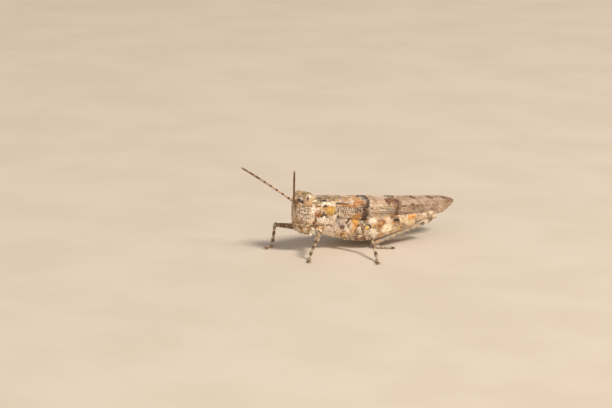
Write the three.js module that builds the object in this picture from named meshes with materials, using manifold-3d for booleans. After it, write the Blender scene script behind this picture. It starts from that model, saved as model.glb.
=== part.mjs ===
// A band-winged grasshopper (a sand-dwelling female) at life size, standing with its wings folded.
// Millimetres, +Z up. While it is drawn, x runs back from the face, the left side is -y, and z is the height
// above the floor. The last lines move the origin to the middle of the model's footprint.
import * as THREE from "three";
import { mergeVertices } from "three/addons/utils/BufferGeometryUtils.js";
import Module from "manifold-3d";

const wasm = await Module();
wasm.setup();

// ---------------------------------------------------------------- driving sizes
const GAP = 0.04; // between neighbouring pieces
const SHELL = 0.5; // thickness of the pronotum and the forewings
const FEELER = 0.26; // radius of the antennae
const LEFT = -1;
const RIGHT = 1;

const HEAD_BACK = 3.45; // where the head enters the pronotum
const PRONOTUM_FRONT = 3.2;
const PRONOTUM_APEX = 7.9; // its pointed rear margin, on the midline
const PRONOTUM_REAR = 6.1; // the rear margin of its side lobes
const THORAX_END = 11.9;
const ABDOMEN_END = 21.6;
const WING_BASE = 6.7;
const WING_TIP = 27.6;
const WING_TIP_HEIGHT = 4.85;

// ---------------------------------------------------------------- curves
// A smooth curve through [position, value] knots that never overshoots them, and is flat past both ends.
function through(...knots) {
  const rise = knots.slice(1).map(([x, v], i) => (v - knots[i][1]) / (x - knots[i][0]));
  const slopes = knots.map((_, i) => {
    const before = rise[i - 1] ?? 0;
    const after = rise[i] ?? 0;
    return before * after > 0 ? (2 * before * after) / (before + after) : 0;
  });
  return (x) => {
    const last = knots.length - 1;
    if (x <= knots[0][0]) return knots[0][1];
    if (x >= knots[last][0]) return knots[last][1];
    const i = knots.findIndex(([at]) => at > x) - 1;
    const span = knots[i + 1][0] - knots[i][0];
    const t = (x - knots[i][0]) / span;
    const h = t * t * (3 - 2 * t);
    const bend = t * (1 - t) * ((1 - t) * slopes[i] - t * slopes[i + 1]) * span;
    return knots[i][1] * (1 - h) + knots[i + 1][1] * h + bend;
  };
}

const point = (x, y, z) => new THREE.Vector3(x, y, z);
const mix = THREE.MathUtils.lerp;
const signedPower = (value, power) => Math.sign(value) * Math.abs(value) ** power;
const steps = (from, to, count) => Array.from({ length: count + 1 }, (_, i) => mix(from, to, i / count));

// ---------------------------------------------------------------- meshes and solids
function signedVolume(points, faces) {
  let six = 0;
  for (let i = 0; i < faces.length; i += 3) {
    const [a, b, c] = [points[faces[i]], points[faces[i + 1]], points[faces[i + 2]]];
    six += a.dot(b.clone().cross(c));
  }
  return six;
}

// A solid from points and triangles that close on themselves, whichever way they were wound.
function solidFrom(points, faces) {
  if (signedVolume(points, faces) < 0) faces.reverse();
  const raw = new THREE.BufferGeometry().setFromPoints(points).setIndex(faces);
  const merged = mergeVertices(raw, 1e-4);
  return new wasm.Manifold(
    new wasm.Mesh({
      numProp: 3,
      vertProperties: merged.attributes.position.array,
      triVerts: new Uint32Array(merged.index.array),
    }),
  );
}

// Joins rings of equally many points into a closed body, with a fan on each end.
function skinned(rings) {
  const sides = rings[0].length;
  const points = rings.flat();
  const faces = [];
  for (let r = 0; r + 1 < rings.length; r++)
    for (let s = 0; s < sides; s++) {
      const a = r * sides + s;
      const b = r * sides + ((s + 1) % sides);
      faces.push(a, b, b + sides, a, b + sides, a + sides);
    }
  for (const [ring, start] of [[rings[0], 0], [rings.at(-1), points.length - sides]]) {
    const middle = ring.reduce((sum, p) => sum.add(p), point(0, 0, 0)).divideScalar(sides);
    const hub = points.push(middle) - 1;
    for (let s = 0; s < sides; s++) {
      const [a, b] = [start + s, start + ((s + 1) % sides)];
      if (start === 0) faces.push(hub, b, a);
      else faces.push(hub, a, b);
    }
  }
  return solidFrom(points, faces);
}

// A shell of the given thickness under a grid of outer points. grow swells it on every side.
function shelled(grid, thickness, grow = 0) {
  const rows = grid.length;
  const columns = grid[0].length;
  const at = (i, j) => grid[THREE.MathUtils.clamp(i, 0, rows - 1)][THREE.MathUtils.clamp(j, 0, columns - 1)];
  const ring = [];
  for (let i = 0; i < rows; i++) {
    const outer = [];
    const inner = [];
    for (let j = 0; j < columns; j++) {
      const along = at(i + 1, j).clone().sub(at(i - 1, j)).normalize();
      const across = at(i, j + 1).clone().sub(at(i, j - 1)).normalize();
      const out = along.clone().cross(across).normalize();
      const edge = point(0, 0, 0);
      if (j === 0) edge.addScaledVector(across, -grow);
      if (j === columns - 1) edge.addScaledVector(across, grow);
      if (i === 0) edge.addScaledVector(along, -grow);
      if (i === rows - 1) edge.addScaledVector(along, grow);
      outer.push(at(i, j).clone().add(edge).addScaledVector(out, grow));
      inner.unshift(at(i, j).clone().add(edge).addScaledVector(out, -thickness - grow));
    }
    ring.push([...outer, ...inner]);
  }
  const sides = ring[0].length;
  const points = ring.flat();
  const faces = [];
  for (let i = 0; i + 1 < rows; i++)
    for (let s = 0; s < sides; s++) {
      const a = i * sides + s;
      const b = i * sides + ((s + 1) % sides);
      faces.push(a, b, b + sides, a, b + sides, a + sides);
    }
  for (const [start, first] of [[0, true], [points.length - sides, false]])
    for (let j = 0; j + 1 < columns; j++) {
      const [a, b, c, d] = [start + j, start + j + 1, start + sides - 1 - j, start + sides - 2 - j];
      if (first) faces.push(a, d, b, a, c, d);
      else faces.push(a, b, d, a, d, c);
    }
  return solidFrom(points, faces);
}

// A body along x whose sections are rounded rectangles between a top line and a bottom line.
function barrel({ stations, top, bottom, halfWidth, sides = 20, power = 2.3, middle = () => 0, grow = 0 }) {
  const rings = stations.map((x, i) => {
    const push = i === 0 ? -grow : i === stations.length - 1 ? grow : 0;
    const centre = (top(x) + bottom(x)) / 2;
    const tall = (top(x) - bottom(x)) / 2 + grow;
    return Array.from({ length: sides }, (_, s) => {
      const turn = (2 * Math.PI * s) / sides;
      return point(
        x + push,
        middle(x) + (halfWidth(x) + grow) * signedPower(Math.sin(turn), 2 / power),
        centre + tall * signedPower(Math.cos(turn), 2 / power),
      );
    });
  });
  return skinned(rings);
}

// A limb along a list of { at, wide, tall, low } stations. wide is its reach sideways from the axis, tall its
// reach upwards and low its reach downwards.
function limb(stations, sides = 8, up = point(0, 0, 1)) {
  const rings = stations.map(({ at, wide, tall = wide, low = tall }, i) => {
    const ahead = stations[Math.min(i + 1, stations.length - 1)].at;
    const behind = stations[Math.max(i - 1, 0)].at;
    const along = ahead.clone().sub(behind).normalize();
    const side = along.clone().cross(up).normalize();
    const rise = side.clone().cross(along).normalize();
    return Array.from({ length: sides }, (_, s) => {
      const turn = (2 * Math.PI * (s + 0.5)) / sides;
      const height = Math.sin(turn) * (Math.sin(turn) > 0 ? tall : low);
      return at.clone().addScaledVector(side, wide * Math.cos(turn)).addScaledVector(rise, height);
    });
  });
  return skinned(rings);
}

// Stations for limb() along a straight stretch, with half sizes given by functions of 0..1.
function straight(from, to, count, wide, tall = wide, low = tall) {
  return steps(0, 1, count).map((t) => ({ at: from.clone().lerp(to, t), wide: wide(t), tall: tall(t), low: low(t) }));
}

function ellipsoid(centre, radii, tilt = 0, grow = 0, [across, down] = [12, 9]) {
  const rings = steps(0, 1, down).slice(1, -1).map((t) => {
    const fall = Math.PI * t;
    return Array.from({ length: across }, (_, s) => {
      const turn = (2 * Math.PI * s) / across;
      return point(Math.sin(fall) * Math.cos(turn), Math.sin(fall) * Math.sin(turn), Math.cos(fall));
    });
  });
  for (const p of rings.flat())
    p.multiply(radii.clone().addScalar(grow)).applyAxisAngle(point(0, 1, 0), tilt).add(centre);
  return skinned(rings);
}

const biggest = (solid) => solid.decompose().sort((a, b) => b.volume() - a.volume())[0];
const cut = (solid, ...tools) => biggest(tools.reduce((left, tool) => left.subtract(tool), solid));

// ---------------------------------------------------------------- body outlines, as heights and half widths by x
const backLine = through([3.2, 7.75], [5.3, 7.6], [8.8, 7.22], [12.2, 6.85], [18.3, 6.18], [25.4, 5.5], [27.3, 5.35]);
const shoulderLine = through([6.7, 6.6], [8.4, 6.35], [11.3, 5.95], [17.6, 5.3], [23, 4.9], [27.3, 4.7]);
const shoulderWidth = through([6.7, 2.08], [9, 2.14], [14, 1.95], [20, 1.58], [24.5, 1.12], [27.6, 0.55]);
const wingLowEdge = through([6.7, 4.95], [9, 4.4], [14, 3.75], [20, 3.35], [24.5, 3.3], [27.3, 3.5]);

const coreTop = through([3.2, 7.0], [5.2, 6.95], [8.1, 6.75], [THORAX_END, 6.1]);
const coreBottom = through([3.2, 3.5], [5.3, 2.1], [8.5, 1.25], [THORAX_END, 0.9]);
const coreWidth = through([3.2, 1.45], [5.6, 1.72], [7.4, 2.0], [9.5, 2.15], [THORAX_END, 1.9]);

const abdomenTop = through([12, 5.75], [16, 5.0], [19.5, 4.35], [ABDOMEN_END, 3.6]);
const abdomenBottom = through([12, 0.92], [14.5, 0.9], [17.5, 1.2], [20, 1.75], [ABDOMEN_END, 2.5]);
const abdomenWidth = through([12, 1.62], [15, 1.5], [18.5, 1.2], [ABDOMEN_END, 0.6]);

// ---------------------------------------------------------------- head
const FACE = through([3.4, 1.3], [3.9, 0.85], [4.5, 0.5], [5.2, 0.42], [6.6, 0.36], [7.5, 0.4], [8.05, 0.74], [8.48, 1.5]);
const NAPE = through([3.4, 2.85], [4.0, 3.15], [5.2, HEAD_BACK], [7.4, HEAD_BACK], [8.1, 3.2], [8.5, 2.3]);
const CHEEK = through([3.4, 1.0], [3.9, 1.4], [4.6, 1.68], [5.5, 1.8], [6.4, 1.72], [7.3, 1.45], [8.1, 1.1], [8.5, 0.45]);
const COSTA_RISE = 0.16; // the ridge down the middle of the face
const COSTA_WIDTH = 0.34;

function headCapsule(grow = 0, sides = 20) {
  const levels = [3.4, 3.8, 4.4, 5.2, 6.1, 7.0, 7.7, 8.1, 8.35, 8.48];
  const rings = levels.map((z, i) => {
    const push = i === 0 ? -grow : i === levels.length - 1 ? grow : 0;
    const middle = (FACE(z) + NAPE(z)) / 2;
    const long = (NAPE(z) - FACE(z)) / 2 + grow;
    return Array.from({ length: sides }, (_, s) => {
      const turn = (2 * Math.PI * s) / sides;
      const front = Math.cos(turn) < 0;
      const y = (CHEEK(z) + grow) * signedPower(Math.sin(turn), front ? 1.04 : 0.7);
      const ridge = front ? COSTA_RISE * Math.exp(-((y / COSTA_WIDTH) ** 2)) : 0;
      return point(middle + long * signedPower(Math.cos(turn), front ? 0.98 : 0.74) - ridge, y, z + push);
    });
  });
  return skinned(rings);
}

const EYE_RADII = point(0.76, 0.62, 1.0);
const EYE_TILT = 0.2;
const eye = (side, grow = 0) => ellipsoid(point(1.85, side * 1.32, 7.5), EYE_RADII, EYE_TILT, grow);

// Each antenna: a thick first joint from the face to elbow, and a long thread from there, pointing to reach and rising
// by arch in its middle.
const ANTENNAE = [
  { side: LEFT, elbow: point(0.02, -0.46, 7.42), reach: point(-3.45, -5.06, 5.6), arch: 0.12 },
  { side: RIGHT, elbow: point(0.26, 0.6, 7.42), reach: point(-6.04, 3.42, 4.4), arch: 0.1 },
];

function antenna({ side, elbow, reach, arch }, grow = 0) {
  const way = reach.clone().normalize();
  const root = point(0.5, side * 0.58, 7.38);
  root.addScaledVector(root.clone().sub(elbow).normalize(), grow);
  const scape = limb(straight(root, elbow, 2, () => FEELER * 1.2 + grow), 6);
  const start = elbow.clone().addScaledVector(way, -grow);
  const thread = steps(0, 1, 9).map((t) => ({
    at: start.clone().addScaledVector(reach, t).addScaledVector(point(0, 0, 1), arch * Math.sin(Math.PI * t)),
    wide: FEELER + grow,
  }));
  const tip = thread.at(-1);
  return limb([...thread, { at: tip.at.clone().addScaledVector(way, 0.2), wide: tip.wide * 0.6 }], 6).add(scape);
}

// ---------------------------------------------------------------- mouthparts
const LABRUM_FACE = through([2.7, 1.2], [3.2, 0.82], [3.8, 0.5], [4.3, 0.34]);
const LABRUM_WIDTH = through([2.7, 0.45], [3.2, 0.72], [3.8, 0.8], [4.3, 0.76]);

function labrum(grow = 0) {
  const levels = [2.7, 2.95, 3.4, 3.85, 4.3];
  const rings = levels.map((z, i) => {
    const push = i === 0 ? -grow : i === levels.length - 1 ? grow : 0;
    return Array.from({ length: 12 }, (_, s) => {
      const turn = (2 * Math.PI * s) / 12;
      return point(
        LABRUM_FACE(z) + 0.28 + (0.28 + grow) * signedPower(Math.cos(turn), 0.8),
        (LABRUM_WIDTH(z) + grow) * signedPower(Math.sin(turn), 0.7),
        z + push,
      );
    });
  });
  return skinned(rings);
}

const mandible = (side, grow = 0) =>
  ellipsoid(point(1.95, side * 0.74, 3.35), point(0.66, 0.46, 0.72), -0.3, grow, [10, 7]);
const labium = (grow = 0) => ellipsoid(point(2.75, 0, 3.25), point(0.42, 0.75, 0.62), 0.2, grow, [10, 6]);

// A palp hangs from root as a short chain of joints.
function palp(side, root, joints) {
  const stations = [];
  const at = root.clone();
  for (const [dx, dy, dz] of joints) {
    const step = point(dx, side * dy, dz);
    for (const [t, wide] of [[0.12, 0.22], [0.88, 0.27]])
      stations.push({ at: at.clone().addScaledVector(step, t), wide });
    at.add(step);
  }
  return limb(stations, 6, point(0, 1, 0));
}
const maxillaryPalp = (side) =>
  palp(side, point(2.75, side * 1.1, 3.6), [[0.0, 0.22, -0.5], [-0.15, 0.06, -0.42], [-0.42, 0.0, -0.12]]);
const labialPalp = (side) => palp(side, point(2.7, side * 0.5, 2.72), [[-0.3, 0.08, -0.3], [-0.42, 0.04, -0.05]]);

// ---------------------------------------------------------------- pronotum
const LOBE_LOW = through([3.2, 4.5], [4.2, 4.1], [5.6, 3.85], [6.55, 4.2]); // lower margin of its side lobes
const COLLAR = through([3.2, 1.95], [4.6, 1.92], [6.0, 2.15], [8.1, 2.3]); // half width
const WAIST = 5.5; // height where the sides turn straight down
const ARCH_SHARE = 0.6; // share of the way across that is arch, before the straight side

// across runs from -1 at the lower left margin to 1 at the lower right one, with 0 on the midline.
function saddlePoint(x, across) {
  const far = Math.abs(across);
  const side = Math.sign(across);
  if (far <= ARCH_SHARE) {
    const turn = ((far / ARCH_SHARE) * Math.PI) / 2;
    const y = COLLAR(x) * Math.sin(turn) ** 0.8;
    return point(x, side * y, WAIST + (backLine(x) - WAIST) * Math.cos(turn) ** 0.8);
  }
  const down = (far - ARCH_SHARE) / (1 - ARCH_SHARE);
  return point(x, side * (COLLAR(x) - 0.22 * down ** 2), mix(WAIST, LOBE_LOW(x), down));
}

function pronotum(grow = 0) {
  const rearMargin = through([0, PRONOTUM_APEX], [0.3, 7.1], [0.6, 6.35], [0.8, PRONOTUM_REAR], [1, 5.6]);
  const frontMargin = through([0, PRONOTUM_FRONT], [0.6, 3.3], [1, 3.75]);
  const grid = steps(0, 1, 6).map((t) =>
    steps(-1, 1, 16).map((across) => {
      const far = Math.abs(across);
      return saddlePoint(mix(frontMargin(far), rearMargin(far), t), across);
    }),
  );
  return shelled(grid, SHELL, grow);
}

// ---------------------------------------------------------------- thorax and abdomen
const core = (grow = 0) =>
  barrel({
    stations: steps(3.4, THORAX_END, 7),
    top: coreTop,
    bottom: coreBottom,
    halfWidth: coreWidth,
    sides: 16,
    power: 2.7,
    grow,
  });

// Eight rings, each a little wider at its rear edge than the next one's front.
const SEGMENTS = 8;
const ABDOMEN_START = THORAX_END + GAP;
function abdomen(grow = 0) {
  const long = (ABDOMEN_END - ABDOMEN_START) / SEGMENTS;
  const rings = [];
  for (let n = 0; n < SEGMENTS; n++)
    for (const [t, swell] of [[0.03, 0.955], [0.96, 1.02]]) {
      const x = ABDOMEN_START + (n + t) * long;
      const centre = (abdomenTop(x) + abdomenBottom(x)) / 2;
      const tall = ((abdomenTop(x) - abdomenBottom(x)) / 2) * swell + grow;
      rings.push(
        Array.from({ length: 14 }, (_, s) => {
          const turn = (2 * Math.PI * s) / 14;
          const y = (abdomenWidth(x) * swell + grow) * signedPower(Math.sin(turn), 0.9);
          return point(x, y, centre + tall * Math.cos(turn));
        }),
      );
    }
  return skinned(rings);
}

const ovipositor = (grow = 0) =>
  barrel({
    stations: [21.66, 22.2, 22.8, 23.3],
    top: through([21.6, 3.5], [22.4, 3.35], [23.3, 3.3]),
    bottom: through([21.6, 2.6], [22.4, 2.7], [23.3, 2.95]),
    halfWidth: through([21.6, 0.48], [22.6, 0.36], [23.3, 0.26]),
    sides: 10,
    grow,
  });

const cercus = (side) =>
  limb(straight(point(21.3, side * 0.78, 3.55), point(22.35, side * 1.0, 3.75), 3, (t) => mix(0.27, 0.2, t)), 6);

// ---------------------------------------------------------------- wings
// The forewing folds over the back: across 0 is its edge on the midline, 0.45 the shoulder, and 1 its low edge.
const SHOULDER = 0.45;
const WING_ROUND = 24.3; // where the outline starts to close round the tip
function wingPoint(side, x, across) {
  const inner = GAP / 2 + 0.02;
  const fold = through([0, 0], [SHOULDER, 1], [1, 1.05]);
  const y = side * mix(inner, shoulderWidth(x), fold(across));
  const drop = through([0, backLine(x)], [SHOULDER * 0.55, mix(backLine(x), shoulderLine(x), 0.3)],
    [SHOULDER, shoulderLine(x)], [1, wingLowEdge(x)]);
  return point(x, y, drop(across));
}

function forewing(side, grow = 0) {
  const grid = steps(0, 1, 14).map((t) => {
    const x = mix(WING_BASE, WING_TIP, 1 - (1 - t) ** 1.5);
    const past = Math.max(0, (x - WING_ROUND) / (WING_TIP - WING_ROUND));
    const open = Math.sqrt(Math.max(0.03, 1 - past ** 2.6));
    return steps(0, 1, 7).map((share) => {
      const p = wingPoint(side, x, mix(0.45, share, open));
      p.z = mix(WING_TIP_HEIGHT, p.z, 0.3 + 0.7 * open);
      return p;
    });
  });
  const shell = shelled(side === RIGHT ? grid : grid.map((row) => [...row].reverse()), SHELL, grow);
  return biggest(shell.trimByPlane([0, side, 0], GAP / 2 - grow));
}

// The folded fan of each hindwing lies between the forewings and on the abdomen.
function hindwing(side) {
  return barrel({
    stations: steps(12.4, 25.2, 8),
    top: (x) => backLine(x) - SHELL - 0.42,
    bottom: through([12.4, 5.82], [16, 5.15], [19.5, 4.5], [22, 4.15], [25.2, 4.3]),
    halfWidth: through([12.4, 0.42], [20, 0.42], [25.2, 0.25]),
    middle: through([12.4, side * 0.5], [20, side * 0.5], [25.2, side * 0.34]),
    sides: 10,
  });
}

// ---------------------------------------------------------------- legs
// Each leg runs hip, trochanter, knee, ankle, toe. Heights are of the centre lines.
const FORE_SIZE = { femur: 0.42, tibia: 0.26, tarsus: 0.26 };
const MIDDLE_SIZE = { femur: 0.44, tibia: 0.27, tarsus: 0.26 };
const SOLE = 0.2; // height of a tarsus's centre line over the floor
const LEGS = [
  { name: "fore_left", size: FORE_SIZE, hip: point(3.9, -1.3, 3.45), socket: point(3.25, -2.1, 2.75),
    knee: point(1.05, -4.95, 2.9), ankle: point(0.45, -4.35, 0.62), toe: point(-0.75, -5.85, SOLE) },
  { name: "fore_right", size: FORE_SIZE, hip: point(3.9, 1.3, 3.45), socket: point(3.15, 2.1, 2.85),
    knee: point(0.1, 4.25, 3.05), ankle: point(-0.3, 4.1, 0.62), toe: point(-1.95, 3.05, SOLE) },
  { name: "middle_left", size: MIDDLE_SIZE, hip: point(7.6, -1.5, 2.2), socket: point(8.3, -2.5, 1.75),
    knee: point(9.55, -6.0, 2.45), ankle: point(8.3, -9.15, 0.62), toe: point(7.4, -10.8, SOLE) },
  { name: "middle_right", size: MIDDLE_SIZE, hip: point(7.6, 1.5, 2.2), socket: point(8.2, 2.5, 1.8),
    knee: point(9.3, 5.7, 2.75), ankle: point(8.8, 8.4, 0.62), toe: point(7.9, 10.15, SOLE) },
];
const HIND_LEGS = [
  { name: "hind_left", side: LEFT, hip: point(10.5, -1.7, 2.3), socket: point(9.75, -3.12, 2.85),
    knee: point(22.3, -3.25, 4.0), ankle: point(11.9, -3.35, 0.75), toe: point(14.1, -4.75, SOLE) },
  { name: "hind_right", side: RIGHT, hip: point(10.5, 1.7, 2.3), socket: point(9.75, 3.12, 2.85),
    knee: point(22.1, 3.5, 4.15), ankle: point(11.7, 3.6, 0.75), toe: point(13.9, 5.0, SOLE) },
];

const between = (from, to, clear, clearEnd = clear) => {
  const way = to.clone().sub(from).normalize();
  return [from.clone().addScaledVector(way, clear), to.clone().addScaledVector(way, -clearEnd)];
};

const coxa = (hip, socket, wide) =>
  limb(straight(...between(hip, socket, 0, 0.06), 3, through([0, wide * 0.8], [0.4, wide], [1, wide * 0.72])), 9);

function femur(socket, knee, size) {
  const thick = through([0, size * 0.62], [0.2, size], [0.6, size * 0.85], [0.85, size * 0.66], [1, size * 0.72]);
  return limb(straight(...between(socket, knee, 0.2, 0.26), 5, (t) => thick(t) * 0.85, thick), 8);
}

function tibia(knee, ankle, size) {
  const thick = through([0, size * 1.1], [0.2, size], [0.8, size], [1, size * 1.15]);
  return limb(straight(...between(knee, ankle, 0.35, 0.12), 4, thick), 7);
}

// Three joints and a pair of claws joined in one solid, cut off flat at the floor.
function tarsus(ankle, toe, size) {
  const way = toe.clone().sub(ankle).setZ(0).normalize();
  const side = point(-way.y, way.x, 0);
  const heel = ankle.clone().addScaledVector(way, size * 0.75).setZ(SOLE + 0.06);
  const lumps = [[0, 0.85], [0.18, 1.1], [0.38, 0.9], [0.52, 1.1], [0.68, 0.9], [0.86, 1.08], [1, 0.85]];
  const foot = lumps.map(([t, swell]) => {
    const wide = size * swell;
    return { at: heel.clone().lerp(toe, t), wide, tall: wide * 1.05 };
  });
  const claws = [LEFT, RIGHT].map((hand) => {
    const tip = toe.clone().addScaledVector(way, 0.42).addScaledVector(side, hand * 0.34).setZ(0.16);
    const root = toe.clone().addScaledVector(way, -0.12);
    return limb(straight(root, tip, 1, (t) => mix(0.22, 0.17, t)), 4);
  });
  return biggest(claws.reduce((all, claw) => all.add(claw), limb(foot, 6)).trimByPlane([0, 0, 1], 0));
}

// The jumping leg's thigh is deep and flat, thickest in its first fifth, with a swollen knee.
const THIGH_RISE = through([0, 0.7], [0.06, 1.25], [0.15, 1.55], [0.32, 1.22], [0.53, 0.86], [0.74, 0.58],
  [0.86, 0.45], [0.94, 0.55], [1, 0.4]);
const THIGH_DROP = through([0, 0.75], [0.06, 1.35], [0.15, 1.75], [0.32, 1.62], [0.53, 1.32], [0.74, 0.92],
  [0.86, 0.55], [0.94, 0.55], [1, 0.38]);
const THIGH_WIDE = through([0, 0.36], [0.14, 0.58], [0.3, 0.62], [0.6, 0.45], [0.86, 0.33], [0.94, 0.4], [1, 0.3]);

function hindFemur(socket, knee, grow = 0) {
  const start = socket.clone().add(socket.clone().sub(knee).setLength(grow));
  const at = [0, 0.05, 0.11, 0.19, 0.3, 0.42, 0.55, 0.68, 0.79, 0.87, 0.94, 1];
  const stations = at.map((t) => ({
    at: start.clone().lerp(knee, t),
    wide: THIGH_WIDE(t) + grow,
    tall: THIGH_RISE(t) + grow,
    low: THIGH_DROP(t) + grow,
  }));
  return limb(stations, 12);
}

function hindTibia(knee, ankle) {
  const [from, to] = between(knee.clone().add(point(-0.1, 0, -0.84)), ankle, 0.12, 0.27);
  return limb(straight(from, to, 8, through([0, 0.3], [0.12, 0.27], [0.85, 0.26], [1, 0.32])), 7);
}

// ---------------------------------------------------------------- assembly
const CHITIN = { roughness: 0.75, metalness: 0 };
const colours = {
  cuticle: { color: 0xc9ad84, ...CHITIN },
  wing: { color: 0xc7a883, ...CHITIN },
  hindwing: { color: 0xb9b2a2, ...CHITIN },
  eye: { color: 0xcdb083, roughness: 0.3, metalness: 0 },
  antenna: { color: 0x8a6242, ...CHITIN },
  leg: { color: 0xcfb58c, ...CHITIN },
  tibia: { color: 0xa9a191, ...CHITIN },
  mouth: { color: 0xb88d5c, ...CHITIN },
};
const materials = Object.fromEntries(
  Object.entries(colours).map(([name, look]) => [name, new THREE.MeshStandardMaterial(look)]),
);

const insect = new THREE.Group();
function add(name, solid, look) {
  const { numProp, numVert, vertProperties, triVerts } = solid.getMesh();
  const positions = new Float32Array(numVert * 3);
  for (let i = 0; i < numVert; i++) positions.set(vertProperties.subarray(i * numProp, i * numProp + 3), i * 3);
  const geometry = new THREE.BufferGeometry()
    .setAttribute("position", new THREE.BufferAttribute(positions, 3))
    .setIndex(new THREE.BufferAttribute(triVerts, 1));
  const mesh = new THREE.Mesh(geometry, materials[look]);
  mesh.name = name;
  insect.add(mesh);
}

const sides = [["left", LEFT], ["right", RIGHT]];
const collar = pronotum(GAP);
const coxae = [...LEGS, ...HIND_LEGS].map(({ hip, socket, side }) => coxa(hip, socket, side ? 0.8 : 0.62));
const grownLabrum = labrum(GAP);
const grownEyes = sides.map(([, side]) => eye(side, GAP));
const grownFeelers = ANTENNAE.map((feeler) => antenna(feeler, GAP));
const wings = sides.map(([, side]) => forewing(side, GAP));

add("head", cut(headCapsule(), collar, grownLabrum, ...grownEyes, ...grownFeelers), "cuticle");
add("labrum", labrum(), "mouth");
add("labium", cut(labium(), headCapsule(GAP), mandible(LEFT, GAP), mandible(RIGHT, GAP)), "mouth");
add("pronotum", pronotum(), "cuticle");
add("thorax", cut(core(), collar, headCapsule(GAP), ...wings), "cuticle");
add("abdomen", cut(abdomen(), ...wings), "cuticle");
add("ovipositor", ovipositor(), "mouth");
for (const [i, [name, side]] of sides.entries()) {
  add(`eye_${name}`, eye(side), "eye");
  add(`antenna_${name}`, antenna(ANTENNAE[i]), "antenna");
  add(`mandible_${name}`, cut(mandible(side), headCapsule(GAP), grownLabrum), "mouth");
  add(`maxillary_palp_${name}`, cut(maxillaryPalp(side), mandible(side, GAP), headCapsule(GAP)), "mouth");
  add(`labial_palp_${name}`, cut(labialPalp(side), labium(GAP)), "mouth");
  add(`forewing_${name}`, cut(forewing(side), collar), "wing");
  add(`hindwing_${name}`, cut(hindwing(side), ...wings), "hindwing");
  add(`cercus_${name}`, cut(cercus(side), abdomen(GAP), ovipositor(GAP), ...wings), "mouth");
}
const grownTrunk = [core(GAP), collar, headCapsule(GAP)];
for (const [i, { name, size, hip, socket, knee, ankle, toe }] of LEGS.entries()) {
  add(`coxa_${name}`, cut(coxae[i], ...grownTrunk), "leg");
  add(`femur_${name}`, femur(socket, knee, size.femur), "leg");
  add(`tibia_${name}`, tibia(knee, ankle, size.tibia), "leg");
  add(`tarsus_${name}`, tarsus(ankle, toe, size.tarsus), "leg");
}
for (const [i, { name, hip, socket, knee, ankle, toe }] of HIND_LEGS.entries()) {
  add(`coxa_${name}`, cut(coxae[LEGS.length + i], core(GAP), abdomen(GAP), hindFemur(socket, knee, GAP)), "leg");
  add(`femur_${name}`, hindFemur(socket, knee), "leg");
  add(`tibia_${name}`, hindTibia(knee, ankle), "tibia");
  add(`tarsus_${name}`, tarsus(ankle, toe, 0.27), "tibia");
}

// The origin is on the floor, in the middle of the model's bounding box.
const box = new THREE.Box3().setFromObject(insect);
const middle = box.getCenter(new THREE.Vector3());
const part = new THREE.Group();
insect.position.set(-middle.x, -middle.y, -box.min.z);
part.add(insect);

export default part;
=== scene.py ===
"""A band-winged grasshopper standing on a plain floor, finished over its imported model.

The model is drawn in millimetres, with x running back from the face, the left side at -y and z up from the
floor, and moved into the model's frame when each piece is made. Every point carries a colour, "paint", and
three texture strengths, "marks": how many dark dots, how many ochre flecks, and how grainy it is.
"""
import math

import bpy
import numpy as np
from mathutils import Matrix, Vector


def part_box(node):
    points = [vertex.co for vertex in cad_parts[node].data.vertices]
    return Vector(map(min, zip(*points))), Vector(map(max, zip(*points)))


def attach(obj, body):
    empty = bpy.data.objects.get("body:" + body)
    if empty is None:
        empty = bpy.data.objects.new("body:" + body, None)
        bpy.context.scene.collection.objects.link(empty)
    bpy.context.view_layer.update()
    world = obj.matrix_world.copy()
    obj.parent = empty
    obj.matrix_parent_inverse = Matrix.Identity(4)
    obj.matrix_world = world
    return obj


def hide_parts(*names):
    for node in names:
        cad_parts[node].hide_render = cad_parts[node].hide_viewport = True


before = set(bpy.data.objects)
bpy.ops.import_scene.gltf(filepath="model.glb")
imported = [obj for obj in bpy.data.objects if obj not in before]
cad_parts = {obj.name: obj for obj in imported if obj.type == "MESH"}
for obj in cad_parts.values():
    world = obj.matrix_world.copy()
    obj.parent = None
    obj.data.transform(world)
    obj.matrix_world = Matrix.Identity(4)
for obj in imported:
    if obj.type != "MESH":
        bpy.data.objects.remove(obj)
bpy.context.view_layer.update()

MM = 0.001
LEFT, RIGHT = -1, 1
SIDES = (LEFT, "left"), (RIGHT, "right")
EYE = np.array([1.85, -1.32, 7.5])  # centre of the left eye, where it is drawn
EYE_SIZE = np.array([0.76, 0.62, 1.0])
EYE_TILT = 0.2
SHIFT = (np.array(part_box("eye_left")[0]) + np.array(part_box("eye_left")[1])) / 2 / MM - EYE
random = np.random.default_rng(7)


# ---------------------------------------------------------------- curves and noise
def through(*knots):
    """A smooth curve through (position, value) knots that never overshoots them, flat past both ends."""
    at, value = np.array(knots, float).T
    rise = np.diff(value) / np.diff(at)
    slope = np.zeros(len(at))
    same = rise[:-1] * rise[1:] > 0
    slope[1:-1][same] = (2 * rise[:-1] * rise[1:])[same] / (rise[:-1] + rise[1:])[same]

    def curve(x):
        x = np.clip(x, at[0], at[-1])
        i = np.clip(np.searchsorted(at, x, side="right") - 1, 0, len(at) - 2)
        span = at[i + 1] - at[i]
        t = (x - at[i]) / span
        h = t * t * (3 - 2 * t)
        bend = t * (1 - t) * ((1 - t) * slope[i] - t * slope[i + 1]) * span
        return value[i] * (1 - h) + value[i + 1] * h + bend

    return curve


def turns(count, start=0):
    """Equal steps round a circle."""
    return 2 * np.pi * (np.arange(count) + start) / count


def stacked(*axes):
    """Points from their x, y and z."""
    return np.stack(np.broadcast_arrays(*axes), -1)


def signed_power(value, power):
    """A power that keeps the sign. On the sine and cosine of a turn it makes a circle squarer or sharper."""
    return np.sign(value) * np.abs(value) ** power


def smooth(value, low, high):
    """0 below low, 1 above high, and smooth between."""
    t = np.clip((value - low) / (high - low), 0, 1)
    return t * t * (3 - 2 * t)


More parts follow.
